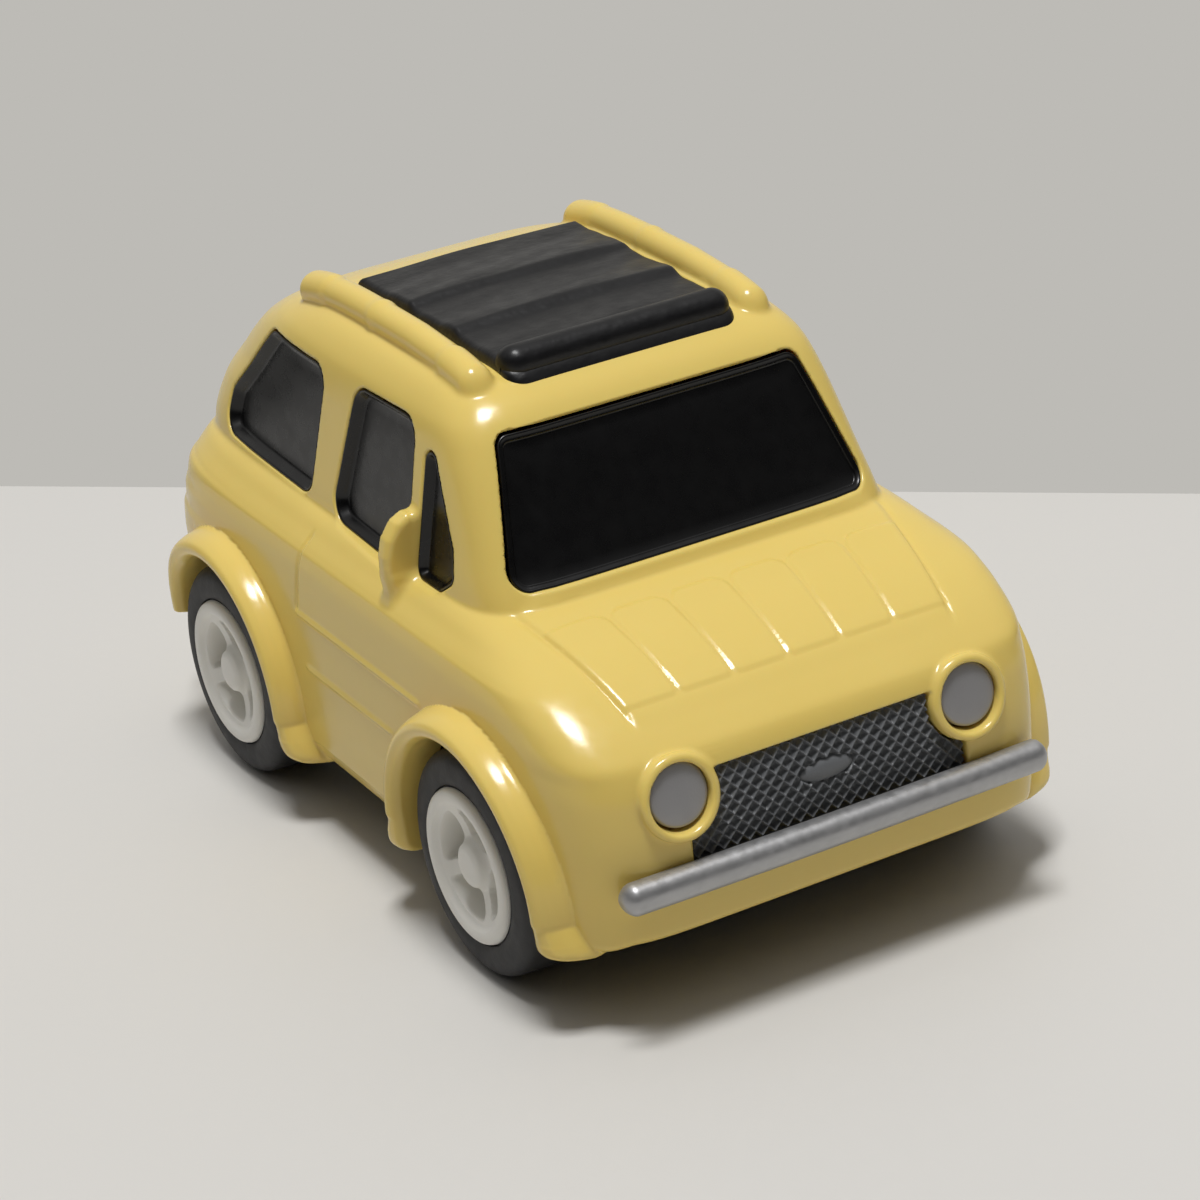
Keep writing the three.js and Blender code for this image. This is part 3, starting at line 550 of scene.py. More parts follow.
@dataclass
class Band:
    """Part of the shell's form: plan sections |x/a|^n + |y/b|^n = 1 whose sizes are smooth curves of height.

    Each row is a height, the nose's and the tail's reach, the half width, then how square nose and tail are.
    """

    rows: Sequence[Sequence[float]]
    curves: list[Monotone] = field(default_factory=list)

    def __post_init__(self) -> None:
        """Fits one curve to each column."""
        table = np.array(self.rows)
        self.curves = [Monotone(table[:, 0], table[:, k]) for k in range(1, 6)]

    def distance(self, p: Array) -> Array:
        """Distance outside the sections, about exact near the surface.

        With g = (|x/a|^n + |y/b|^n)^(1/n) it is (g - 1) divided by the length of g's slope.

        Args:
            p: Points in mm.

        Returns:
            One distance for each point.
        """
        x, y, z = p[:, 0], np.abs(p[:, 1]), p[:, 2]
        (nose, dn), (tail, dt), (half, dh), (sn, _), (st, _) = (c.both(z) for c in self.curves)
        ahead = x >= 0
        reach, rise, n = np.where(ahead, nose, tail), np.where(ahead, dn, dt), np.where(ahead, sn, st)
        u, v = np.abs(x) / reach, y / half
        g = np.maximum((u**n + v**n) ** (1 / n), 1e-6)
        gu, gv = (u / g) ** (n - 1), (v / g) ** (n - 1)
        slope_z = gu * u * rise / reach + gv * v * dh / half
        return (g - 1) / np.sqrt((gu / reach) ** 2 + (gv / half) ** 2 + slope_z**2)

    def side(self, x: Array, z: Array) -> Array:
        """Half width at a place: b (1 - |x/a|^n)^(1/n)."""
        nose, tail, half, sn, st = (c(z) for c in self.curves)
        reach, n = np.where(x >= 0, nose, tail), np.where(x >= 0, sn, st)
        return half * np.maximum(1 - (np.abs(x) / reach) ** n, 0) ** (1 / n)

    def end(self, y: Array, z: Array, ahead: bool) -> Array:
        """Place of the nose or the tail along X: a (1 - |y/b|^n)^(1/n)."""
        nose, tail, half, sn, st = (c(z) for c in self.curves)
        reach, n = (nose, sn) if ahead else (tail, st)
        along = reach * np.maximum(1 - (np.abs(y) / half) ** n, 0) ** (1 / n)
        return along if ahead else -along


LOWER = Band(
    [
        (3.2, 20.1, 20.4, 11.75, 9, 6.5),
        (4.15, 20.72, 20.88, 12.12, 9, 6.5),
        (4.4, 20.78, 20.93, 12.17, 9, 6.5),
        (6.0, 20.9, 21.05, 12.22, 9, 7),
        (8.5, 20.85, 21.1, 12.25, 9, 7.5),
        (10.5, 20.6, 21.05, 12.25, 9, 8),
        (11.5, 20.3, 20.95, 12.23, 9, 8),
        (12.05, 20.0, 20.86, 12.2, 9.5, 7.5),
        (12.65, 19.32, 20.8, 12.17, 10, 7.5),
        (13.35, 18.35, 20.7, 12.12, 10, 7),
        (13.9, 17.42, 20.6, 12.02, 10, 7),
        (14.15, 16.93, 20.55, 11.95, 10, 6.8),
        (14.4, 16.4, 20.5, 11.78, 10, 6.5),
        (14.9, 15.15, 20.38, 11.33, 9.5, 6.5),
        (15.42, 13.5, 20.1, 10.85, 9, 6.5),
        (15.85, 12.0, 19.4, 10.2, 8.5, 6.5),
        (16.1, 10.8, 18.6, 9.4, 8.5, 6.5),
        (16.4, 8.0, 15.5, 7.6, 8.5, 6.5),
    ]
)
CABIN = Band(
    [
        (12.0, 13.4, 20.3, 10.78, 8.5, 7),
        (14.0, 12.6, 20.25, 10.6, 8.5, 7),
        (16.1, 11.55, 20.05, 10.38, 8.5, 7),
        (18.0, 10.45, 19.3, 10.06, 8.5, 6.5),
        (20.0, 9.3, 17.9, 9.72, 8.5, 5.2),
        (21.6, 8.4, 16.1, 9.42, 8, 5),
        (22.6, 7.75, 14.3, 9.14, 7.5, 5),
        (23.3, 7.1, 12.6, 8.7, 7, 5),
        (23.9, 6.1, 10.6, 8.05, 6.5, 5),
        (24.3, 4.9, 9.0, 7.2, 6, 5),
        (24.6, 3.4, 7.4, 6.2, 6, 5),
    ]
)


@dataclass
class Outline:
    """Convex outline of [u, v] points, anticlockwise, with round corners."""

    corners: Sequence[Sequence[float]]
    radius: float

    def core(self) -> Array:
        """Centres of the corner arcs: the outline moved in by the radius.

        Returns:
            One point for each corner.
        """
        p = np.array(self.corners, float)
        ahead = np.roll(p, -1, 0) - p
        ahead /= np.linalg.norm(ahead, axis=1)[:, None]
        after = np.stack([-ahead[:, 1], ahead[:, 0]], 1)
        before = np.roll(after, 1, 0)
        share = self.radius / (1 + (before * after).sum(1))
        return p + share[:, None] * (before + after)

    def distance(self, u: Array, v: Array) -> Array:
        """Distance outside the outline: that to the core polygon less the radius.

        Args:
            u: First coordinates.
            v: Second coordinates.

        Returns:
            One distance for each place, negative inside.
        """
        core = self.core()
        nearest, outside = np.full(np.shape(u), np.inf), np.full(np.shape(u), -np.inf)
        for (pu, pv), (qu, qv) in zip(core, np.roll(core, -1, 0)):
            eu, ev = qu - pu, qv - pv
            long = math.hypot(eu, ev)
            t = np.clip(((u - pu) * eu + (v - pv) * ev) / long**2, 0, 1)
            nearest = np.minimum(nearest, (u - pu - t * eu) ** 2 + (v - pv - t * ev) ** 2)
            outside = np.maximum(outside, ((u - pu) * ev - (v - pv) * eu) / long)
        return np.where(outside > 0, np.sqrt(nearest), outside) - self.radius

    def path(self, inset: float, per_corner: int = 9, per_side: int = 14) -> Array:
        """Points along the outline moved in: arcs about the core's points, joined by straight sides.

        Args:
            inset: How far in, at most the radius.
            per_corner: Points on each arc.
            per_side: Points along each straight side.

        Returns:
            Points [u, v] once round.
        """
        core = self.core()
        ahead = np.roll(core, -1, 0) - core
        facing = np.arctan2(-ahead[:, 0], ahead[:, 1])
        start = np.roll(facing, 1)
        sweep = np.mod(facing - start, 2 * np.pi)
        turn = start[:, None] + sweep[:, None] * np.linspace(0, 1, per_corner)
        arc = core[:, None] + (self.radius - inset) * np.stack([np.cos(turn), np.sin(turn)], -1)
        first, last = arc[:, -1:], np.roll(arc[:, :1], -1, 0)
        t = np.linspace(0, 1, per_side + 2)[1:-1][None, :, None]
        return np.concatenate([arc, first + (last - first) * t], 1).reshape(-1, 2)


QUARTER_WINDOW = Outline([(-15.65, 16.1), (-5.95, 15.85), (-5.05, 22.2), (-11.5, 22.1), (-15.25, 18.2)], 1.05)
DOOR_WINDOW = Outline([(-3.95, 15.65), (3.6, 15.3), (3.6, 22.45), (-2.15, 22.3)], 1.15)
QUARTERLIGHT = Outline([(4.4, 15.6), (6.55, 15.6), (7.7, 16.4), (7.45, 17.8), (4.6, 23.0)], 0.55)
WINDSCREEN = Outline([(-9.15, 16.58), (9.15, 16.58), (7.55, 22.55), (-7.55, 22.55)], 0.7)
REAR_WINDOW = Outline([(-7.4, 16.9), (7.4, 16.9), (6.3, 21.3), (-6.3, 21.3)], 0.9)
SIDE_WINDOWS = (QUARTER_WINDOW, DOOR_WINDOW, QUARTERLIGHT)


@dataclass
class Layout:
    """Places that several pieces share, in mm."""

    front_axle: float = 11.6
    rear_axle: float = -12.4
    axle_height: float = 5.2
    arch_radius: float = 5.8
    lamp_y: float = 7.24
    lamp_z: float = 10.5
    lamp_radius: float = 1.42
    lamp_back: float = 20.1
    lamp_lean: float = 0.25
    tail_lamp_y: float = 8.7
    tail_lamp_radius: float = 1.15
    tail_lamp_back: float = -20.35
    grille_hollow: float = 2.04
    grille_top: float = 11.1
    grille_bottom: float = 7.2
    grille_half: float = 6.8
    grille_back: float = 19.95
    bumper_z: float = 6.95
    bumper_peg_y: float = 5.6
    bumper_peg_z: float = 6.6
    peg_radius: float = 0.4
    canvas_floor: float = 24.2
    canvas_back: float = -8.25
    canvas_bed: tuple[float, float] = (-8.5, 5.9)
    canvas_half: float = 5.82
    rail_y: float = 7.0
    shell_bottom: float = 3.2


PLACE = Layout()


@dataclass
class ShellField:
    """The moulded shell as one field, negative inside the plastic, so that every edge gets a small fillet."""

    wall: float = 1.1
    nose_wall: float = 1.9
    roof_top: float = 24.5
    deck_top: float = 16.3
    cabin_bottom: float = 12.0
    roof_round: float = 0.8
    deck_round: float = 0.3
    rim_fillet: float = 0.14
    arch_fillet: float = 0.2
    pocket_fillet: float = 0.12
    flare_width: float = 1.25
    flare_proud: float = 1.32
    flare_reach: tuple[float, float] = (8.6, 10.4)
    rear_flare_end: tuple[float, float] = (5.75, 6.15)
    foot_spread: float = 1.1
    foot_top: float = 5.1
    foot_height: float = 1.9
    foot_blend: float = 0.22
    bonnet_half: float = 9.0
    bonnet_half_x: float = 12.5
    bonnet_taper: float = 0.17
    bonnet_ends: tuple[float, float, float, float] = (11.0, 11.5, 18.0, 18.9)
    bonnet_rise: float = 0.06
    bonnet_edge: float = 0.12
    bonnet_groove: float = 0.08
    groove_width: float = 0.18
    plank_span: tuple[float, float] = (12.95, 17.9)
    plank_middle: float = 15.0
    plank_corners: tuple[float, float] = (0.7, 0.25)
    plank_gap: float = 0.1
    plank_rise: float = 0.07
    plank_edge: float = 0.13
    upper_line_z: float = 11.05
    upper_line_ends: tuple[float, float, float, float] = (-5.2, -4.6, 6.8, 7.4)
    lower_line_z: float = 8.4
    lower_line_ends: tuple[float, float, float, float] = (-4.7, -4.0, 3.8, 4.4)
    line_width: float = 0.14
    line_rise: float = 0.1
    door_groove: float = 0.09
    door_groove_x: float = -4.55
    door_groove_lean: float = 0.2
    door_groove_width: float = 0.13
    door_groove_ends: tuple[float, float, float, float] = (10.9, 11.3, 14.6, 15.2)
    sill_step: float = 0.14
    sill_middle: float = -0.4
    sill_half: tuple[float, float] = (4.6, 3.8)
    sill_top: tuple[float, float] = (4.45, 4.2)
    rail_radius: float = 0.74
    rail_span: tuple[float, float] = (-10.05, 5.05)
    rail_lift: float = 0.32
    rail_swell: float = 0.08
    knuckle_x: float = -3.4
    knuckle_rise: float = 0.06
    knuckle_width: float = 0.35
    mirror_x: float = 3.85
    mirror_half: float = 0.58
    mirror_round: float = 0.4
    lamp_ring: float = 0.2
    lamp_ring_x: float = 20.62
    chin_rise: tuple[float, float] = (0.4, 0.5)
    side_cut: float = 4.0
    screen_cut: float = 3.0
    rear_cut: float = -10.0
    peg_cut: float = 17.0
    flare_curve: Monotone = field(init=False)
    foot_curve: Monotone = field(init=False)
    rail_curve: Monotone = field(init=False)
    mirror_fin: Outline = field(init=False)

    def __post_init__(self) -> None:
        """Fits the flare's profiles, the rail's line over the roof and the mirror's outline."""
        self.flare_curve = Monotone(
            [-0.4, 0, 0.2, 0.42, 0.62, 0.8, 0.92, 1.0, 1.3], [0.5, 0.68, 0.93, 1, 0.93, 0.68, 0.36, 0, -1.2]
        )
        self.foot_curve = Monotone(
            [-0.4, 0, 0.2, 0.42, 0.65, 0.85, 1.0, 1.3], [0.48, 0.66, 0.88, 0.92, 0.82, 0.47, 0, -0.8]
        )
        x = np.linspace(-12, 8, 41)
        roof = self.roof_height(x, np.full(41, PLACE.rail_y))
        lift = self.rail_lift - 0.06 * np.maximum(x, 0)
        self.rail_curve = Monotone(x, np.minimum(roof, PLACE.canvas_floor + 0.1) + lift)
        fin = [(9.9, 14.3), (11.2, 13.9), (11.6, 14.6), (11.78, 15.7), (11.8, 16.8)]
        fin += [(11.6, 17.6), (11.1, 18.3), (10.5, 18.6), (9.85, 18.45)]
        self.mirror_fin = Outline(fin, 0.25)

    def cabin(self, p: Array) -> Array:
        """The cabin's form with its roof rounded off."""
        return smooth_max(CABIN.distance(p), p[:, 2] - self.roof_top, self.roof_round)

    def roof_height(self, x: Array, y: Array) -> Array:
        """Height of the roof, found by halving the span that holds it.

        Args:
            x: Places along the car.
            y: Places to the side.

        Returns:
            One height for each place.
        """
        low, high = np.full(np.shape(x), 18.0), np.full(np.shape(x), 26.0)
        for _ in range(30):
            middle = (low + high) / 2
            out = self.cabin(np.stack([x, y, middle], 1)) > 0
            low, high = np.where(out, low, middle), np.where(out, middle, high)
        return low

    def skin(self, p: Array) -> Array:
        """The shell's outer form with no detail: body and cabin meet in a small fillet.

        Args:
            p: Points in mm.

        Returns:
            One distance for each point.
        """
        z = p[:, 2]
        lower = smooth_max(LOWER.distance(p), z - self.deck_top, self.deck_round)
        cabin = np.maximum(self.cabin(p), self.cabin_bottom - z)
        return smooth_min(lower, cabin, self.rim_fillet)

    def flares(self, x: Array, y: Array, z: Array) -> Array:
        """Rise of the wheel-arch flares: a bead whose height follows the distance from the arch.

        Below the axle the bead turns into an upright foot that is flatter and spreads towards the sill.

        Args:
            x: Places along the car.
            y: Places to the side, as positive numbers.
            z: Heights.

        Returns:
            The rise above the skin.
        """
        total = np.zeros_like(x)
        below = np.clip(self.foot_top - z, 0, 2)
        foot = smooth_step(self.foot_blend, -self.foot_blend, z - self.foot_top)
        for axle in (PLACE.front_axle, PLACE.rear_axle):
            u = x - axle
            away = np.hypot(u, np.maximum(z - PLACE.axle_height, 0)) - PLACE.arch_radius
            bead = self.flare_curve(away / self.flare_width)
            spread = self.flare_width + self.foot_spread * below / self.foot_height
            bead += (self.foot_curve(away / spread) - bead) * foot
            short = (u < 0) & (axle == PLACE.rear_axle)
            ends = np.where(short, smooth_step(*self.rear_flare_end, z), 1.0)
            total += smooth_max(bead * self.flare_proud, np.zeros_like(bead), 0.08) * ends * (away > -1)
        return total * smooth_step(*self.flare_reach, y)

    def bonnet(self, x: Array, y: Array, z: Array) -> Array:
        """Rise of the bonnet's six planks, each with round corners, on a panel with a groove along each side.

        Args:
            x: Places along the car.
            y: Places to the side, as positive numbers.
            z: Heights.

        Returns:
            The rise above the skin.
        """
        back, front = self.plank_span
        wide = self.bonnet_half - self.bonnet_taper * (x - self.bonnet_half_x)
        share = y / wide
        past = y - wide
        middle = (np.floor(share * 3) + 0.5) / 3
        across = np.where(share > 5 / 6, -1.0, np.abs(share - middle) * wide - wide / 6 + self.plank_gap)
        along = np.maximum(back - x, x - front)
        corner = np.where(x < self.plank_middle, *self.plank_corners)
        q = np.hypot(np.maximum(across + corner, 0), np.maximum(along + corner, 0)) - corner
        plank = np.maximum(q, np.maximum(across, along))
        rise = self.plank_rise * smooth_step(self.plank_edge, -self.plank_edge, plank)
        rise *= smooth_step(0.05, -0.15, past)
        side = self.bonnet_rise * smooth_step(self.bonnet_edge, -self.bonnet_edge, past)
        side -= self.bonnet_groove * np.exp(-((past / self.groove_width) ** 2))
        side *= plateau(self.bonnet_ends, x)
        return (rise + side) * smooth_step(11.6, 12.3, z) * (x > 11)

    def door(self, x: Array, y: Array, z: Array) -> Array:
        """Rise of the two lines along the door, less the groove behind it and the step of the sill.

        Args:
            x: Places along the car.
            y: Places to the side, as positive numbers.
            z: Heights.

        Returns:
            The rise above the skin.
        """
        upper, lower = (
            np.exp(-(((z - line) / self.line_width) ** 2)) for line in (self.upper_line_z, self.lower_line_z)
        )
        upper = upper * plateau(self.upper_line_ends, x)
        lower = lower * plateau(self.lower_line_ends, x)
        seam = x - self.door_groove_x - self.door_groove_lean * (z - 13)
        shut = np.exp(-((seam / self.door_groove_width) ** 2)) * plateau(self.door_groove_ends, z)
        sill = smooth_step(*self.sill_top, z) * smooth_step(*self.sill_half, np.abs(x - self.sill_middle))
        rise = self.line_rise * (upper + lower) - self.door_groove * shut - self.sill_step * sill
        return rise * (y > 9.5)

    def rails(self, x: Array, y: Array, z: Array) -> Array:
        """Distance to a roof rail: a round bar over the roof, with fuller round ends and a small knuckle.

        Args:
            x: Places along the car.
            y: Places to the side, as positive numbers.
            z: Heights.

        Returns:
            One distance for each place.
        """
        back, front = self.rail_span
        from_end = np.abs(x - (back + front) / 2) - (front - back) / 2
        past = np.maximum(from_end, 0)
        swell = self.rail_swell * smooth_step(-2.3, -1.7, from_end)
        swell += self.knuckle_rise * np.exp(-(((x - self.knuckle_x) / self.knuckle_width) ** 2))
        off = (y - PLACE.rail_y) ** 2 + (z - self.rail_curve(x)) ** 2 + past**2
        return np.sqrt(off) - self.rail_radius - swell

    def mirrors(self, x: Array, y: Array, z: Array) -> Array:
        """Distance to a door mirror: an upright fin, its outline given a thickness and round edges.

        Args:
            x: Places along the car.
            y: Places to the side, as positive numbers.
            z: Heights.

        Returns:
            One distance for each place.
        """
        flat = self.mirror_fin.distance(y, z) + self.mirror_round
        thick = np.abs(x - self.mirror_x) - self.mirror_half + self.mirror_round
        outside = np.hypot(np.maximum(flat, 0), np.maximum(thick, 0))
        return outside + np.minimum(np.maximum(flat, thick), 0) - self.mirror_round

    def openings(self, shell: Array, x: Array, y: Array, z: Array) -> Array:
        """Cuts the windows, arches and trim pockets out of the shell, each with a rounded rim.

        Args:
            shell: The shell's field.
            x: Places along the car.
            y: Places to the side, as positive numbers.
            z: Heights.

        Returns:
            The field with the openings.
        """
        for axle in (PLACE.front_axle, PLACE.rear_axle):
            above = np.maximum(z - PLACE.axle_height, 0)
            shell = smooth_max(shell, PLACE.arch_radius - np.hypot(x - axle, above), self.arch_fillet)
        for window in SIDE_WINDOWS:
            pocket = np.maximum(window.distance(x, z), self.side_cut - y)
            shell = smooth_max(shell, -pocket, self.rim_fillet)
        pocket = np.maximum(WINDSCREEN.distance(y, z), self.screen_cut - x)
        shell = smooth_max(shell, -pocket, self.rim_fillet)
        pocket = np.maximum(REAR_WINDOW.distance(y, z), x - self.rear_cut)
        shell = smooth_max(shell, -pocket, self.rim_fillet)
        lamp = np.hypot(y - PLACE.lamp_y, z - PLACE.lamp_z)
        pocket = np.maximum(np.maximum(z - PLACE.grille_top, PLACE.grille_bottom - z), y - PLACE.grille_half)
        pocket = smooth_max(pocket, PLACE.grille_hollow - lamp, 0.15) - 0.1
        shell = smooth_max(shell, -np.maximum(pocket, PLACE.grille_back - x), self.rim_fillet)
        pocket = np.maximum(lamp - PLACE.lamp_radius - 0.04, PLACE.lamp_back - 0.3 - x)
        shell = smooth_max(shell, -pocket, 0.1)
        tail = np.hypot(y - PLACE.tail_lamp_y, z - PLACE.lamp_z)
        pocket = np.maximum(tail - PLACE.tail_lamp_radius - 0.1, x - PLACE.tail_lamp_back)
        shell = smooth_max(shell, -pocket, self.pocket_fillet)
        back, front = PLACE.canvas_bed
        bed = np.maximum(np.maximum(x - front, back - x), y - PLACE.canvas_half - 0.2)
        shell = smooth_max(shell, -np.maximum(bed, PLACE.canvas_floor - z), self.pocket_fillet)
        peg = np.hypot(y - PLACE.bumper_peg_y, z - PLACE.bumper_peg_z) - PLACE.peg_radius - 0.08
        return np.maximum(shell, -np.maximum(peg, self.peg_cut - np.abs(x)))

    def __call__(self, p: Array) -> Array:
        """The whole shell.

        Args:
            p: Points in mm.

        Returns:
            One value for each point, negative inside the plastic.
        """
        x, y, z = p[:, 0], np.abs(p[:, 1]), p[:, 2]
        plain = self.skin(p)
        outer = plain - self.flares(x, y, z) - self.bonnet(x, y, z) - self.door(x, y, z)
        around = np.hypot(y - PLACE.lamp_y, z - PLACE.lamp_z) - PLACE.lamp_radius - 0.22
        forward = x - self.lamp_ring_x + PLACE.lamp_lean * (z - PLACE.lamp_z)
        outer = smooth_min(outer, np.hypot(around, forward) - self.lamp_ring, 0.35)
        outer = smooth_min(outer, self.rails(x, y, z), 0.3)
        outer = smooth_min(outer, self.mirrors(x, y, z), 0.5)
        corner, middle = self.chin_rise
        chin = (corner + middle * smooth_step(11.2, 9.6, y)) * smooth_step(15.8, 17.2, x)
        outer = smooth_max(outer, PLACE.shell_bottom + chin - z, 0.5)
        wall = self.wall + (self.nose_wall - self.wall) * smooth_step(16, 18.5, x) * smooth_step(13, 11.5, z)
        hollow = smooth_max(outer, -(plain + wall), 0.3)
        return self.openings(hollow, x, y, z)


@dataclass
class Mesher:
    """Turns a field into a closed mesh of four-sided faces, a point in each cell that the surface crosses."""

    step: float
    low: Sequence[float]
    high: Sequence[float]
    block: int = 4

    def sample(self, shape: Field) -> tuple[Array, Array]:
        """Values on a grid over the car's left half, worked out in blocks near the surface, then mirrored.

        Args:
            shape: The field.

        Returns:
            The values and the grid's lowest corner.
        """
        span = self.step * self.block
        low = np.array([self.low[0], 0.0, self.low[2]])
        blocks = np.ceil((np.array(self.high) - low) / span).astype(int)
        axes = [low[k] + span * np.arange(blocks[k] + 1) for k in range(3)]
        coarse = self._at(shape, np.stack(np.meshgrid(*axes, indexing="ij"), -1).reshape(-1, 3))
        coarse = coarse.reshape(blocks + 1)
        near = np.abs(coarse) < span * 1.7
        for k in range(3):
            last = near.shape[k] - 1
            near = np.take(near, range(1, last + 1), k) | np.take(near, range(last), k)
        values, wanted = coarse, near
        for k in range(3):
            values = np.repeat(values, self.block, k)
            wanted = np.repeat(wanted, self.block, k)
        values = values[tuple(slice(0, n * self.block + 1) for n in blocks)].copy()
        wanted = np.pad(wanted, [(0, 1)] * 3)
        for k in range(3):
            past_first = np.arange(wanted.shape[k]) > 0
            wanted |= np.roll(wanted, 1, k) & np.expand_dims(past_first, [j for j in range(3) if j != k])
        values[wanted] = self._at(shape, low + self.step * np.argwhere(wanted))
        full = np.concatenate([values[:, :0:-1], values], 1)
        return full, low - np.array([0, self.step * (values.shape[1] - 1), 0])

    @staticmethod
    def _at(shape: Field, points: Array) -> Array:
        """Field at many points, in slices that fit the processor's memory."""
        return np.concatenate([shape(part) for part in np.array_split(points, len(points) // 120000 + 1)])

    def mesh(self, shape: Field) -> Surface:
        """Closed surface of a field: a point in each mixed cell, a face round each edge that changes sign.

        Args:
            shape: The field.

        Returns:
            The surface, facing out.
        """
        values, low = self.sample(shape)
        inside = values < 0
        n = np.array(inside.shape) - 1
        corners = np.array([(i, j, k) for i in (0, 1) for j in (0, 1) for k in (0, 1)])
        count = sum(inside[i : i + n[0], j : j + n[1], k : k + n[2]].astype(np.int8) for i, j, k in corners)
        mixed = (count > 0) & (count < 8)
        cells = np.argwhere(mixed)
        index = np.full(mixed.shape, -1)
        index[mixed] = np.arange(len(cells))
        total, hits = np.zeros((len(cells), 3)), np.zeros((len(cells), 1))
        for a in corners:
            for axis in np.flatnonzero(a == 0):
                b = a + np.eye(3, dtype=int)[axis]
                va, vb = values[tuple((cells + a).T)], values[tuple((cells + b).T)]
                cross = ((va < 0) != (vb < 0))[:, None]
                share = np.where(cross[:, 0], va / np.where(va == vb, 1, va - vb), 0)[:, None]
                total += np.where(cross, a + share * (b - a), 0)
                hits += cross
        faces = []
        for axis in range(3):
            first = np.take(inside, range(n[axis]), axis)
            last = np.take(inside, range(1, n[axis] + 1), axis)
            at = np.argwhere(first != last)
            leaving = first[tuple(at.T)]
            e1, e2 = np.eye(3, dtype=int)[(axis + 1) % 3], np.eye(3, dtype=int)[(axis + 2) % 3]
            quad = np.stack([index[tuple((at - s).T)] for s in (e1 + e2, e2, 0 * e1, e1)], 1)
            faces.append(np.where(leaving[:, None], quad, quad[:, ::-1]))
        return Surface(low + self.step * (cells + total / hits), np.concatenate(faces))

    def settle(self, shape: Field, points: Array, rounds: int) -> tuple[Array, Array]:
        """Moves points onto the field's zero along its slope.

        Args:
            shape: The field.
            points: Points near the surface.
            rounds: How often to repeat.

        Returns:
            The moved points and the unit normals there.
        """
        reach = 0.015
        arms = np.array([(1, -1, -1), (-1, -1, 1), (-1, 1, -1), (1, 1, 1)], float)
        for _ in range(rounds):
            around = [self._at(shape, points + reach * arm) for arm in arms]
            slope = sum(v[:, None] * arm for v, arm in zip(around, arms)) / (4 * reach)
            steep = np.maximum((slope**2).sum(1), 0.05)
            move = np.clip(sum(around) / 4 / steep, -self.step / 2, self.step / 2)
            points = points - slope * move[:, None]
        around = [self._at(shape, points + 2 * reach * arm) for arm in arms]
        slope = sum(v[:, None] * arm for v, arm in zip(around, arms))
        return points, slope / np.maximum(np.linalg.norm(slope, axis=1), 1e-9)[:, None]


@dataclass
class Shell:
    """The yellow moulded shell."""

    fine_step: float = 0.125
    quick_step: float = 0.3
    most_triangles: int = 190000
    low: tuple[float, float, float] = (-21.9, 0, 2.9)
    high: tuple[float, float, float] = (22.3, 14.0, 25.9)

    def build(self) -> None:
        """Meshes the shell's field, thins it where it is flat, and sets points and normals on the field."""
        shape = ShellField()
        step = self.fine_step
        mesher = Mesher(step, self.low, self.high)
        surface = mesher.mesh(shape)
        surface.points, _ = mesher.settle(shape, surface.points, 2)
        mesh = self._thinned(new_mesh("shell", surface), len(surface.faces) * 2)
        points = np.empty(len(mesh.vertices) * 3, np.float32)
        mesh.vertices.foreach_get("co", points)
        points, normals = mesher.settle(shape, points.reshape(-1, 3).astype(float) / MM, 1)
        mesh.vertices.foreach_set("co", (points * MM).astype(np.float32).ravel())
        mesh.polygons.foreach_set("use_smooth", np.ones(len(mesh.polygons), bool))
        mesh.update()
        mesh.normals_split_custom_set_from_vertices(normals.astype(np.float32))
        dress(mesh, YELLOW_ABS, Body.CAR, ["body_shell"])

    def _thinned(self, mesh: bpy.types.Mesh, triangles: int) -> bpy.types.Mesh:
        """The mesh with fewer faces where they add no shape.

        Args:
            mesh: The fine mesh.
            triangles: How many it has.

        Returns:
            The mesh to keep.
        """
        if triangles <= self.most_triangles:
            return mesh
        holder = bpy.data.objects.new("shell_fine", mesh)
        bpy.context.scene.collection.objects.link(holder)
        thin = holder.modifiers.new("thin", "DECIMATE")
        thin.ratio = self.most_triangles / triangles
        made = bpy.data.meshes.new_from_object(holder.evaluated_get(bpy.context.evaluated_depsgraph_get()))
        bpy.data.objects.remove(holder)
        bpy.data.meshes.remove(mesh)
        made.name = "shell"
        return made


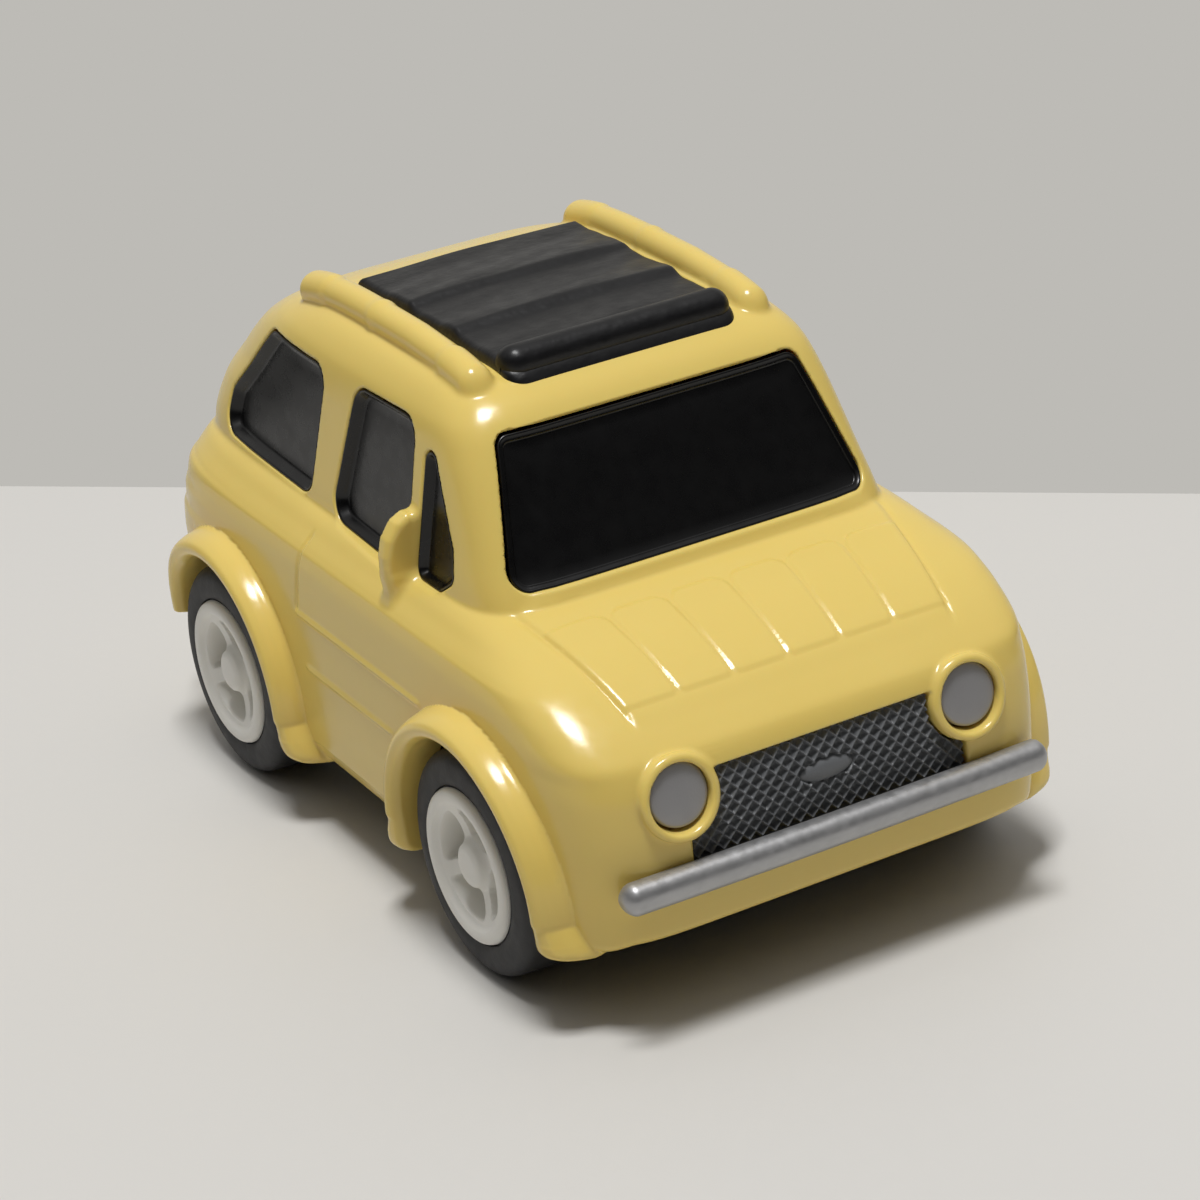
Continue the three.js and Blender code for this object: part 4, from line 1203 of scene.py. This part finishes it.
@dataclass
class Windows:
    """The black window moulding: a dome inside the cabin, with a recessed pane in each opening."""

    gap: float = 0.03
    side_recess: float = 0.55
    screen_recess: float = 0.26
    bevel: float = 0.3
    rim: float = 0.15
    back_depth: float = 1.55
    dome_depth: float = 1.3
    dome_wall: float = 1.0
    dome_span: tuple[float, float] = (15.9, 23.2)

    def build(self) -> None:
        """Joins the dome and the panes into one piece."""
        panes = []
        for outline in SIDE_WINDOWS:
            left = self.pane(outline, min(self.side_recess, outline.radius * 0.8), self._on_side)
            panes += [left, left.mirrored()]
        for outline, ahead in ((WINDSCREEN, True), (REAR_WINDOW, False)):
            place = partial(self._on_end, ahead=ahead)
            panes.append(self.pane(outline, self.screen_recess, place))
        surface = Surface.join([self.dome(), *panes])
        closed_piece("window_moulding", surface, BLACK_STYRENE, Body.CAR, ["window_insert"])

    @staticmethod
    def _on_side(u: Array, v: Array) -> Array:
        """Points of the cabin's left side at places along it and heights."""
        return np.stack([u, CABIN.side(u, v), v], -1)

    @staticmethod
    def _on_end(u: Array, v: Array, ahead: bool) -> Array:
        """Points of the cabin's front or back at places across and heights."""
        return np.stack([CABIN.end(u, v, ahead), u, v], -1)

    def pane(self, outline: Outline, deep: float, place: Callable[[Array, Array], Array]) -> Surface:
        """One pane: a profile of insets and depths carried round the outline and filled on both faces.

        The profile starts just under the shell's rim, slopes in to the recess and ends in the flat pane.

        Args:
            outline: The opening's outline.
            deep: The recess under the cabin's surface.
            place: Gives the cabin's surface at outline coordinates.

        Returns:
            The closed pane.
        """
        bevel = min(self.bevel, deep * 0.6, outline.radius * 0.4)
        bead = [(0, self.back_depth), (0, 0.16), (0.01, 0.1), (0.04, 0.065), (0.08, 0.06), (0.12, 0.085)]
        fall = [(0.6, 0.1), (0.7, 0.05), (0.9, 0.015), (1.15, 0)]
        profile = [*bead, (self.rim, 0.13), *((self.rim + share * bevel, deep - up) for share, up in fall)]
        paths = np.stack([outline.path(self.gap + inset) for inset, _ in profile])
        depths = np.array([depth for _, depth in profile])
        middle = paths[-1].mean(0)
        shares = np.array([0.0, 0.3, 0.6, 0.85])[:, None, None]
        back = middle + (paths[0] - middle) * shares
        front = middle + (paths[-1] - middle) * shares[::-1]
        uv = np.concatenate([back, paths, front])
        depth = np.concatenate([np.full(len(back), depths[0]), depths, np.full(len(front), depths[-1])])
        at = place(uv[..., 0], uv[..., 1])
        flat = at.reshape(-1, 3)
        arms = 0.02 * np.eye(3)
        slope = np.stack([CABIN.distance(flat + arm) - CABIN.distance(flat - arm) for arm in arms], 1)
        normal = (slope / np.linalg.norm(slope, axis=1)[:, None]).reshape(at.shape)
        return Surface.grid(at - normal * depth[:, None, None])

    def dome(self) -> Surface:
        """Dome inside the cabin: the cabin's sections moved in, outer skin up and inner skin down.

        Returns:
            The closed dome.
        """
        turn = np.linspace(0, 2 * np.pi, 97)[:-1]
        heights = np.linspace(*self.dome_span, 26)
        rows = [self._ring(z, self.dome_depth, turn) for z in heights]
        inner = [self._ring(z, self.dome_depth + self.dome_wall, turn) for z in heights]
        sink = np.array([0, 0, self.dome_wall])
        inner = [row - sink * smooth_step(20, self.dome_span[1], row[:, 2:3]) for row in inner]
        shares = (0.6, 0.2, 0.0)
        rows += [rows[-1] * np.array([share, share, 1]) for share in shares]
        rows += [inner[-1] * np.array([share, share, 1]) for share in shares[::-1]] + inner[::-1] + rows[:1]
        return Surface.grid(np.stack(rows))

    @staticmethod
    def _ring(z: float, inset: float, turn: Array) -> Array:
        """One section of the cabin moved in, x = a |cos|^(2/n) and y = b |sin|^(2/n) with their signs.

        Args:
            z: Height.
            inset: How far in.
            turn: Angles round the section.

        Returns:
            Points round the section.
        """
        source = min(z + inset * 0.6, 24.3)
        nose, tail, half, sn, st = (float(c(source)) for c in CABIN.curves)
        c, s = np.cos(turn), np.sin(turn)
        n = np.where(c >= 0, sn, st)
        reach = np.where(c >= 0, nose, tail) - inset
        x = np.sign(c) * reach * np.abs(c) ** (2 / n)
        y = np.sign(s) * (half - inset) * np.abs(s) ** (2 / n)
        return np.stack([x, y, np.full_like(x, z)], 1)


@dataclass
class CanvasRoof:
    """The folding-roof moulding: a sheet with two cross folds, a roll along its front edge and a lip."""

    thick: float = 0.5
    crown: float = 0.1
    edge_round: float = 0.35
    fold_rise: float = 0.3
    fold_reach: tuple[float, float] = (1.7, 0.46)
    folds: tuple[float, float] = (-3.5, 0.75)
    roll_radius: float = 0.84
    roll_lift: float = 0.2
    roll_x: float = 5.1
    roll_half: float = 5.8
    lip_front: float = 6.25
    lip_rise: float = 0.4
    lip_corner: float = 0.9

    def build(self) -> None:
        """Builds the sheet, the roll and the lip as one piece."""
        surface = Surface.join([self.sheet(), self.roll(), self.lip()])
        closed_piece("canvas_sheet", surface, BLACK_CANVAS, Body.CAR, ["canvas_roof"])

    def sheet(self) -> Surface:
        """Sheet: height over the bed is a crown with rounded edges, plus a steep-fronted swell at each fold.

        Returns:
            The closed sheet.
        """
        u = np.sin(np.linspace(-1, 1, 161) * np.pi / 2)
        v = np.sin(np.linspace(-1, 1, 101) * np.pi / 2)
        x0, x1, half = PLACE.canvas_back, self.roll_x + 0.1, PLACE.canvas_half
        x = (x0 + x1) / 2 + (x1 - x0) / 2 * u[:, None] * np.ones_like(v)
        y = half * v * np.ones_like(x)
        edge = np.minimum((x - x0) / self.edge_round, (half - np.abs(y)) / self.edge_round)
        edge = np.sqrt(np.clip(1 - (1 - np.clip(edge, 0, 1)) ** 2, 0, 1))
        swell = sum(self._fold(x - fold) for fold in self.folds) * (1 - 0.3 * (y / half) ** 4)
        wave = 0.02 * np.sin(2.1 * x + 0.5 * np.sin(1.3 * y)) + 0.015 * np.sin(3.7 * x + 0.9 * y)
        crown = self.crown * (1 - (y / half) ** 2)
        top = PLACE.canvas_floor + (self.thick + crown + swell + wave) * edge
        upper = np.stack([x, y, top], -1)
        lower = upper * np.array([1, 1, 0]) + np.array([0, 0, PLACE.canvas_floor])
        return Surface.slab(upper, lower)

    def _fold(self, along: Array) -> Array:
        """Swell of a fold: a bell curve, long behind and short in front."""
        return self.fold_rise * np.exp(-((along / np.where(along < 0, *self.fold_reach)) ** 2))

    def lip(self) -> Surface:
        """Lip: a strip with round corners in front of the roll, whose top falls slowly and then steeply.

        Returns:
            The closed strip.
        """
        share = np.sin(np.linspace(0, 1, 17) * np.pi / 2)[:, None]
        y = self.roll_half * np.sin(np.linspace(-1, 1, 81) * np.pi / 2)
        corner = self.lip_corner
        past = np.sqrt(1 - (np.clip(np.abs(y) - self.roll_half + corner, 0, corner) / corner) ** 2)
        front = self.lip_front - corner * (1 - past)
        grid_x = self.roll_x + share * (front - self.roll_x)
        grid_y = y * np.ones_like(share)
        roof = ShellField().roof_height(grid_x.ravel(), np.abs(grid_y.ravel())).reshape(grid_x.shape)
        rise = self.lip_rise * (1 - share**4) * np.sqrt(past)
        bed = np.minimum(roof, PLACE.canvas_floor) - 0.02
        upper = np.stack([grid_x, grid_y, bed + 0.03 + rise], -1)
        lower = np.stack([grid_x, grid_y, bed], -1)
        return Surface.slab(upper, lower)

    def roll(self) -> Surface:
        """Roll: a bar along the front edge whose radius closes as a quarter circle at each round end.

        Returns:
            The closed roll.
        """
        y = self.roll_half * np.sin(np.linspace(-1, 1, 81) * np.pi / 2)
        past = np.clip((np.abs(y) - self.roll_half + self.roll_radius) / self.roll_radius, 0, 1)
        size = self.roll_radius * np.sqrt(np.maximum(1 - past**2, 0))
        turn = np.linspace(0, 2 * np.pi, 41)[:-1]
        x = self.roll_x + size[:, None] * np.cos(turn) - 0.1 * past[:, None]
        z = PLACE.canvas_floor + self.roll_lift + size[:, None] * np.sin(turn)
        z = np.maximum(z, PLACE.canvas_floor + 0.002)
        return Surface.grid(np.stack([x, y[:, None] * np.ones_like(x), z], -1))


def turned(
    profile: Sequence[tuple[float, float]], count: int, origin: Sequence[float], outward: Sequence[float]
) -> Surface:
    """Profile of radius and height turned about an axis.

    Args:
        profile: Radii and heights along the axis, closed by its ends on the axis or as a ring.
        count: Points round the axis.
        origin: Where the axis starts.
        outward: Unit direction of the axis.

    Returns:
        The surface of revolution.
    """
    axis = Vector(outward)
    first = axis.orthogonal().normalized()
    second = axis.cross(first)
    turn = np.linspace(0, 2 * np.pi, count + 1)[:-1]
    ring = np.cos(turn)[:, None] * np.array(first) + np.sin(turn)[:, None] * np.array(second)
    shape = np.array(profile, float)
    rows = shape[:, :1, None] * ring[None] + shape[:, 1:, None] * np.array(axis)
    return Surface.grid(rows + np.array(origin, float))


@dataclass
class NoseTrim:
    """Grille, lamps and bumpers."""

    weave_pitch: tuple[float, float] = (0.63, 0.71)
    weave_rise: float = 0.26
    rib_width: float = 0.17
    grille_recess: float = 0.42
    boss_half: tuple[float, float] = (1.35, 0.5)
    boss_height: float = 9.4
    boss_rise: float = 0.3
    bumper_half: float = 10.65
    bumper_height: float = 1.45
    bumper_face: float = 22.0
    bumper_sweep: float = 0.14
    bumper_cap: float = 0.055
    bumper_backs: tuple[float, float] = (21.0, 21.15)
    peg_length: float = 1.9
    peg_sunk: float = 1.6

    def build(self) -> None:
        """Builds every piece of trim."""
        closed_piece("grille_weave", self.grille(), GREY_PAINT, Body.CAR, ["grille"])
        facing = Vector((1, 0, PLACE.lamp_lean)).normalized()
        for side, name in ((1, "left"), (-1, "right")):
            at = (PLACE.lamp_back, side * PLACE.lamp_y, PLACE.lamp_z)
            head, node = self.lamp(PLACE.lamp_radius, at, facing), f"headlamp_{name}"
            closed_piece(f"headlamp_disc_{name}", head, SILVER_PAINT, Body.CAR, [node])
            at = (PLACE.tail_lamp_back, side * PLACE.tail_lamp_y, PLACE.lamp_z)
            tail, node = self.lamp(PLACE.tail_lamp_radius, at, (-1, 0, 0)), f"tail_lamp_{name}"
            closed_piece(f"tail_lens_{name}", tail, RED_LENS, Body.CAR, [node])
        for end, name, reach in zip((1, -1), ("front", "rear"), self.bumper_backs):
            bar = self.bumper(end, reach)
            closed_piece(f"{name}_bumper_bar", bar, SILVER_FOIL, Body.CAR, [f"{name}_bumper"])

    def grille(self) -> Surface:
        """Grille: rows across the outline, standing off the nose by a lattice of ribs and a blank oval boss.

        Thin ribs lean both ways and leave diamond pits: each rib's height is a bell curve of the distance
        from it, and the higher rib shows.

        Returns:
            The closed grille.
        """
        z = np.linspace(PLACE.grille_bottom, PLACE.grille_top, 110)
        rise = np.clip(PLACE.grille_hollow**2 - (z - PLACE.lamp_z) ** 2, 0, None)
        beside = np.minimum(PLACE.lamp_y - np.sqrt(rise), PLACE.grille_half)
        half = np.where(rise > 0, beside, PLACE.grille_half)
        y = half[:, None] * np.linspace(-1, 1, 340)
        z = z[:, None] * np.ones_like(y)
        wide, high = self.weave_pitch
        p, q = y / wide + z / high, y / wide - z / high
        ribs = [np.exp(-(((across - np.round(across)) / self.rib_width) ** 2)) for across in (p, q)]
        weave = self.weave_rise * np.maximum(*ribs)
        oval = np.hypot(y / self.boss_half[0], (z - self.boss_height) / self.boss_half[1])
        boss = self.boss_rise * np.sqrt(np.clip(1 - np.minimum(oval, 1) ** 2.5, 0, 1))
        weave = np.maximum(weave * smooth_step(0.95, 1.08, oval), boss)
        face = LOWER.end(y, z, True) - self.grille_recess
        upper = np.stack([face + weave, y, z], -1)
        lower = np.stack([np.full_like(y, PLACE.grille_back), y, z], -1)
        return Surface.slab(upper, lower)

    @staticmethod
    def lamp(radius: float, origin: Sequence[float], outward: Sequence[float]) -> Surface:
        """Lamp: a flat disc with a softly rounded rim, and its peg behind.

        Args:
            radius: The disc's radius.
            origin: Middle of its back.
            outward: The way that it faces.

        Returns:
            The closed lamp.
        """
        peg = [(0, -1.1), (0.5, -1.1), (0.5, 0), (radius, 0)]
        edge = ((0, 0.3), (0.03, 0.38), (0.1, 0.43), (0.2, 0.45))
        rim = [(radius - inset, height) for inset, height in edge]
        face = [(radius * 0.6, 0.475), (radius * 0.3, 0.49), (0, 0.495)]
        return turned(peg + rim + face, 64, origin, outward)

    def bumper(self, end: int, reach: float) -> Surface:
        """Bumper: a half-round section carried across the car, closing at round ends, with two pegs.

        Args:
            end: 1 in front and -1 behind.
            reach: Place of its back along X.

        Returns:
            The closed bar and pegs.
        """
        t = np.sin(np.linspace(-1, 1, 121) * np.pi / 2)
        past = np.clip((np.abs(t) - 1 + self.bumper_cap) / self.bumper_cap, 0, 1)
        size = np.sqrt(np.maximum(1 - past**2, 0))[:, None]
        turn = np.linspace(-np.pi / 2, np.pi / 2, 25)
        lift, out = np.sin(turn), 0.22 + 0.78 * np.cos(turn) ** 0.8
        lift, out = np.concatenate([[-0.9], lift, [0.9]]), np.concatenate([[0], out, [0]])
        proud = (self.bumper_face - reach) * out * (0.35 + 0.65 * size) * (size > 0)
        x = reach - self.bumper_sweep * t[:, None] ** 2 + proud
        z = PLACE.bumper_z + self.bumper_height / 2 * lift * size
        y = self.bumper_half * t[:, None] * np.ones_like(x)
        bar = Surface.grid(np.stack([end * x, y, z], -1))
        thick, long = PLACE.peg_radius, self.peg_length
        rod = [(0, 0), (thick, 0), (thick, long), (0, long)]
        sunk = end * (reach - self.peg_sunk)
        starts = [(sunk, side * PLACE.bumper_peg_y, PLACE.bumper_peg_z) for side in (1, -1)]
        return Surface.join([bar, *(turned(rod, 16, start, (end, 0, 0)) for start in starts)])


@dataclass
class Wheels:
    """Tyres and hubs of both axles."""

    face: float = 12.85
    width: float = 4.0
    radius: float = 5.2
    rim: float = 3.55
    spoke: float = 0.4
    spoke_turn: float = 27.0
    recess: float = 1.2
    recess_corner: float = 0.22
    recess_span: tuple[float, float] = (0.36, 0.71)
    bore: float = 0.78

    def build(self) -> None:
        """Builds four tyres and four hubs."""
        axles = ((PLACE.front_axle, Body.FRONT, "front"), (PLACE.rear_axle, Body.REAR, "rear"))
        for axle, body, end in axles:
            origin = np.array([axle, 0, PLACE.axle_height])
            tyre, hub = self.tyre(), self.hub()
            tyre.points, hub.points = tyre.points + origin, hub.points + origin
            pairs = {"left": (tyre, hub), "right": (tyre.mirrored(), hub.mirrored())}
            for side, (rubber, wheel) in pairs.items():
                tyre_node, hub_node = f"{end}_tyre_{side}", f"{end}_hub_{side}"
                closed_piece(f"{end}_{side}_tyre", rubber, GREY_RUBBER, body, [tyre_node])
                closed_piece(f"{end}_{side}_wheel", wheel, WHITE_PP, body, [hub_node])

    def tyre(self) -> Surface:
        """Tyre: a profile with a slightly crowned tread, round shoulders and a plain sidewall, turned.

        Returns:
            The closed ring.
        """
        out, back, r, rim = self.face, self.face - self.width, self.radius, self.rim
        turn = np.linspace(0, np.pi / 2, 9)
        outer = [(r - 0.75 + 0.7 * math.cos(t), out - 0.7 + 0.68 * math.sin(t)) for t in turn]
        inner = [(r - 0.6 + 0.55 * math.sin(t), back + 0.5 - 0.5 * math.cos(t)) for t in turn]
        profile = [(rim - 0.22, back), *inner, (r, back + 1.2), (r, out - 1.6), *outer]
        lip = [(0.6, 0.03), (0.25, 0), (0.1, -0.06), (0.04, -0.2), (-0.22, -0.2)]
        profile += [(rim + wide, out + high) for wide, high in lip] + [(rim - 0.22, back)]
        return turned(profile, 120, (0, 0, 0), (0, 1, 0))

    def hub(self) -> Surface:
        """Hub: height over a polar grid, a broad lip, a dished face, four deep recesses and a raised cap.

        Returns:
            The closed hub.
        """
        share = np.concatenate([np.linspace(0, 0.98, 92), [0.99, 1.0]])
        turn = np.linspace(0, 2 * np.pi, 289)[:-1]
        r, a = self.rim * share[:, None] * np.ones_like(turn), turn * np.ones_like(share)[:, None]
        cap = [(0, 0.12), (0.2, 0.08), (0.27, -0.05), (0.3, -0.25)]
        dish = [(0.36, -0.42), (0.45, -0.4), (0.6, -0.28), (0.7, -0.12), (0.74, -0.06), (0.77, -0.02)]
        lip = [(0.8, 0.08), (0.83, 0.2), (0.9, 0.24), (0.95, 0.2), (0.985, 0.1), (1.0, -0.05)]
        height = Monotone(*zip(*cap, *dish, *lip))(share)[:, None] * np.ones_like(a)
        off = np.mod(a - math.radians(self.spoke_turn) + np.pi / 4, np.pi / 2) - np.pi / 4
        arm = np.abs(np.sin(off)) * r - self.spoke
        near, far = self.recess_span
        inner, outer = r - near * self.rim, far * self.rim - r
        corner = self.recess_corner
        sides = np.stack([corner - arm, corner - inner, corner - outer])
        hole = corner - np.sqrt((np.maximum(sides, 0) ** 2).sum(0)) - np.minimum(sides.max(0), 0)
        height -= self.recess * smooth_step(-0.08, 0.2, hole)
        front = np.stack([r * np.cos(a), self.face + height, r * np.sin(a)], -1)
        back = self.face - self.width + 0.4
        seat, floor = self.rim - 0.25, self.face - 2.2
        ring = np.stack([np.cos(turn), np.zeros_like(turn), np.sin(turn)], -1)
        steps = [(self.rim, self.face - 0.1), (seat, self.face - 0.15), (seat, back)]
        steps += [(self.bore, back), (self.bore, floor), (0, floor)]
        rows = [front] + [(ring * radius + np.array([0, y, 0]))[None] for radius, y in steps]
        return Surface.grid(np.concatenate(rows))


@dataclass
class Motor:
    """The base plate, axles, spring motor and its case: solids that keep their shape and get finishes."""

    finishes: dict[str, Finish] = field(
        default_factory=lambda: {
            "chassis": BLACK_ABS,
            "motor_case_left": BLACK_ABS,
            "motor_case_right": BLACK_ABS,
            "mainspring": BLUED_STEEL,
            "spring_gear": NYLON,
            "idler_gear": NYLON,
            "axle_pinion": NYLON,
            "idler_pin": DRAWN_STEEL,
            "front_axle": DRAWN_STEEL,
            "rear_axle": DRAWN_STEEL,
        }
    )

    def build(self, nodes: dict[str, bpy.types.Object]) -> None:
        """Gives each solid its finish.

        Args:
            nodes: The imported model's objects by name.
        """
        for name, finish in self.finishes.items():
            nodes[name].material_slots[0].material = finish.material()
            LOG.info("%s: %s", name, finish.name)


@dataclass
class Studio:
    """Table, background, lamp and camera."""

    table_colour: str = "DAD8D4"
    table_patch: str = "D6D4D0"
    table_size: tuple[float, float] = (900, 1500)
    wall_colour: str = "BDBBB6"
    room_colour: str = "FFFDFA"
    edge_point: tuple[float, float] = (-47.0, -2.0)
    edge_along: tuple[float, float] = (0.6588, 0.7523)
    bright_side: tuple[float, float, float] = (-0.35, 0.2, 0.92)
    wall_side: tuple[float, float, float] = (-0.88, 0.47, 0.0)
    room_levels: tuple[float, float, float, float] = (0.1, 0.95, 0.03, 0.46)
    wall_levels: tuple[float, float, float, float] = (0.5, 0.9, 0.0, 1.0)
    lamp_at: tuple[float, float, float] = (70, -40, 645)
    lamp_size: float = 0.15
    lamp_power: float = 2.95
    camera_at: tuple[float, float, float] = (143.059, -75.905, 85.870)
    yaw: float = 151.7714
    pitch: float = 25.2202
    roll: float = -4.9096
    lens: float = 116.08

    def build(self) -> None:
        """Builds everything round the car."""
        self.table()
        self.background()
        self.lamp()
        self.camera()

    def table(self) -> None:
        """White table that ends a little behind the car."""
        along = np.array([*self.edge_along, 0])
        toward = np.array([along[1], -along[0], 0])
        start = np.array([*self.edge_point, 0])
        half, deep = self.table_size
        signs = ((-1, 0), (-1, 1), (1, 1), (1, 0))
        corners = [start + a * half * along + b * deep * toward for a, b in signs]
        mesh = new_mesh("table", Surface(np.array(corners), np.array([[0, 1, 2, 3]])))
        # Matt white laminate: nearly even, with a faint grain.
        colours = self.table_colour, self.table_patch
        finish = Finish("white_laminate", *colours, 0.55, patch_mm=60, grain_mm=1.2, grain_depth_mm=0.01)
        mesh.materials.append(finish.material())
        table = bpy.data.objects.new("table", mesh)
        bpy.context.scene.collection.objects.link(table)

    def background(self) -> None:
        """Pale grey wall past the table, and a room that is brighter above and behind.

        The camera sees the wall all round, and shiny surfaces see it where it stands, behind the table.
        """
        world = bpy.data.worlds.new("studio")
        bpy.context.scene.world = world
        world.use_nodes = True
        tree = world.node_tree
        tree.nodes.clear()
        path = add_node(tree, "ShaderNodeLightPath")
        wall = {"Color": linear(self.wall_colour), "Strength": 1.0}
        seen = add_node(tree, "ShaderNodeBackground", inputs=wall)
        toward = add_node(tree, "ShaderNodeTexCoord").outputs["Generated"]
        levels = []
        for side, ends in ((self.bright_side, self.room_levels), (self.wall_side, self.wall_levels)):
            rise = add_node(
                tree,
                "ShaderNodeVectorMath",
                settings={"operation": "DOT_PRODUCT"},
                inputs={0: toward, 1: side},
            )
            span = dict(zip(("From Min", "From Max", "To Min", "To Max"), ends))
            level = add_node(
                tree,
                "ShaderNodeMapRange",
                settings={"interpolation_type": "SMOOTHSTEP"},
                inputs={"Value": rise.outputs["Value"], **span},
            )
            levels.append(level.outputs["Result"])
        room = {"Color": linear(self.room_colour), "Strength": levels[0]}
        light = add_node(tree, "ShaderNodeBackground", inputs=room)
        shows = path.outputs["Is Camera Ray"]
        for ray in ("Is Glossy Ray", "Is Transmission Ray"):
            shows = add_node(
                tree,
                "ShaderNodeMath",
                settings={"operation": "MULTIPLY_ADD", "use_clamp": True},
                inputs={0: path.outputs[ray], 1: levels[1], 2: shows},
            ).outputs[0]
        both = {0: shows, 1: light.outputs[0], 2: seen.outputs[0]}
        mix = add_node(tree, "ShaderNodeMixShader", inputs=both)
        add_node(tree, "ShaderNodeOutputWorld", inputs={"Surface": mix.outputs[0]})

    def lamp(self) -> None:
        """Square lamp above the car, turned to it; its place is in mm, its side in metres."""
        data = bpy.data.lights.new("overhead_softbox", "AREA")
        data.size, data.energy = self.lamp_size, self.lamp_power
        lamp = bpy.data.objects.new("overhead_softbox", data)
        lamp.location = Vector(self.lamp_at) * MM
        lamp.rotation_euler = (Vector((0, 0, 10 * MM)) - lamp.location).to_track_quat("-Z", "Y").to_euler()
        bpy.context.scene.collection.objects.link(lamp)

    def camera(self) -> None:
        """Camera where the photograph was taken from, by its yaw, pitch and roll."""
        yaw, pitch, roll = (math.radians(v) for v in (self.yaw, self.pitch, self.roll))
        look = Vector((math.cos(pitch) * math.cos(yaw), math.cos(pitch) * math.sin(yaw), -math.sin(pitch)))
        level = look.cross(Vector((0, 0, 1))).normalized()
        high = level.cross(look)
        right = level * math.cos(roll) + high * math.sin(roll)
        up = high * math.cos(roll) - level * math.sin(roll)
        data = bpy.data.cameras.new("photo_camera")
        data.sensor_width, data.lens, data.clip_start = 36.0, self.lens, 0.01
        camera = bpy.data.objects.new("photo_camera", data)
        turn = Matrix((right, up, -look)).transposed().to_4x4()
        camera.matrix_world = Matrix.Translation(Vector(self.camera_at) * MM) @ turn
        bpy.context.scene.collection.objects.link(camera)
        bpy.context.scene.camera = camera


def main() -> None:
    """Loads the frame and builds each part of the car in order."""
    logging.basicConfig(level=logging.INFO, format="%(name)s %(message)s")
    bpy.context.scene.view_settings.view_transform = "Standard"
    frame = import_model()
    Studio().build()
    Shell().build()
    Windows().build()
    CanvasRoof().build()
    NoseTrim().build()
    Wheels().build()
    Motor().build(frame["nodes"])


if __name__ == "__main__":
    main()
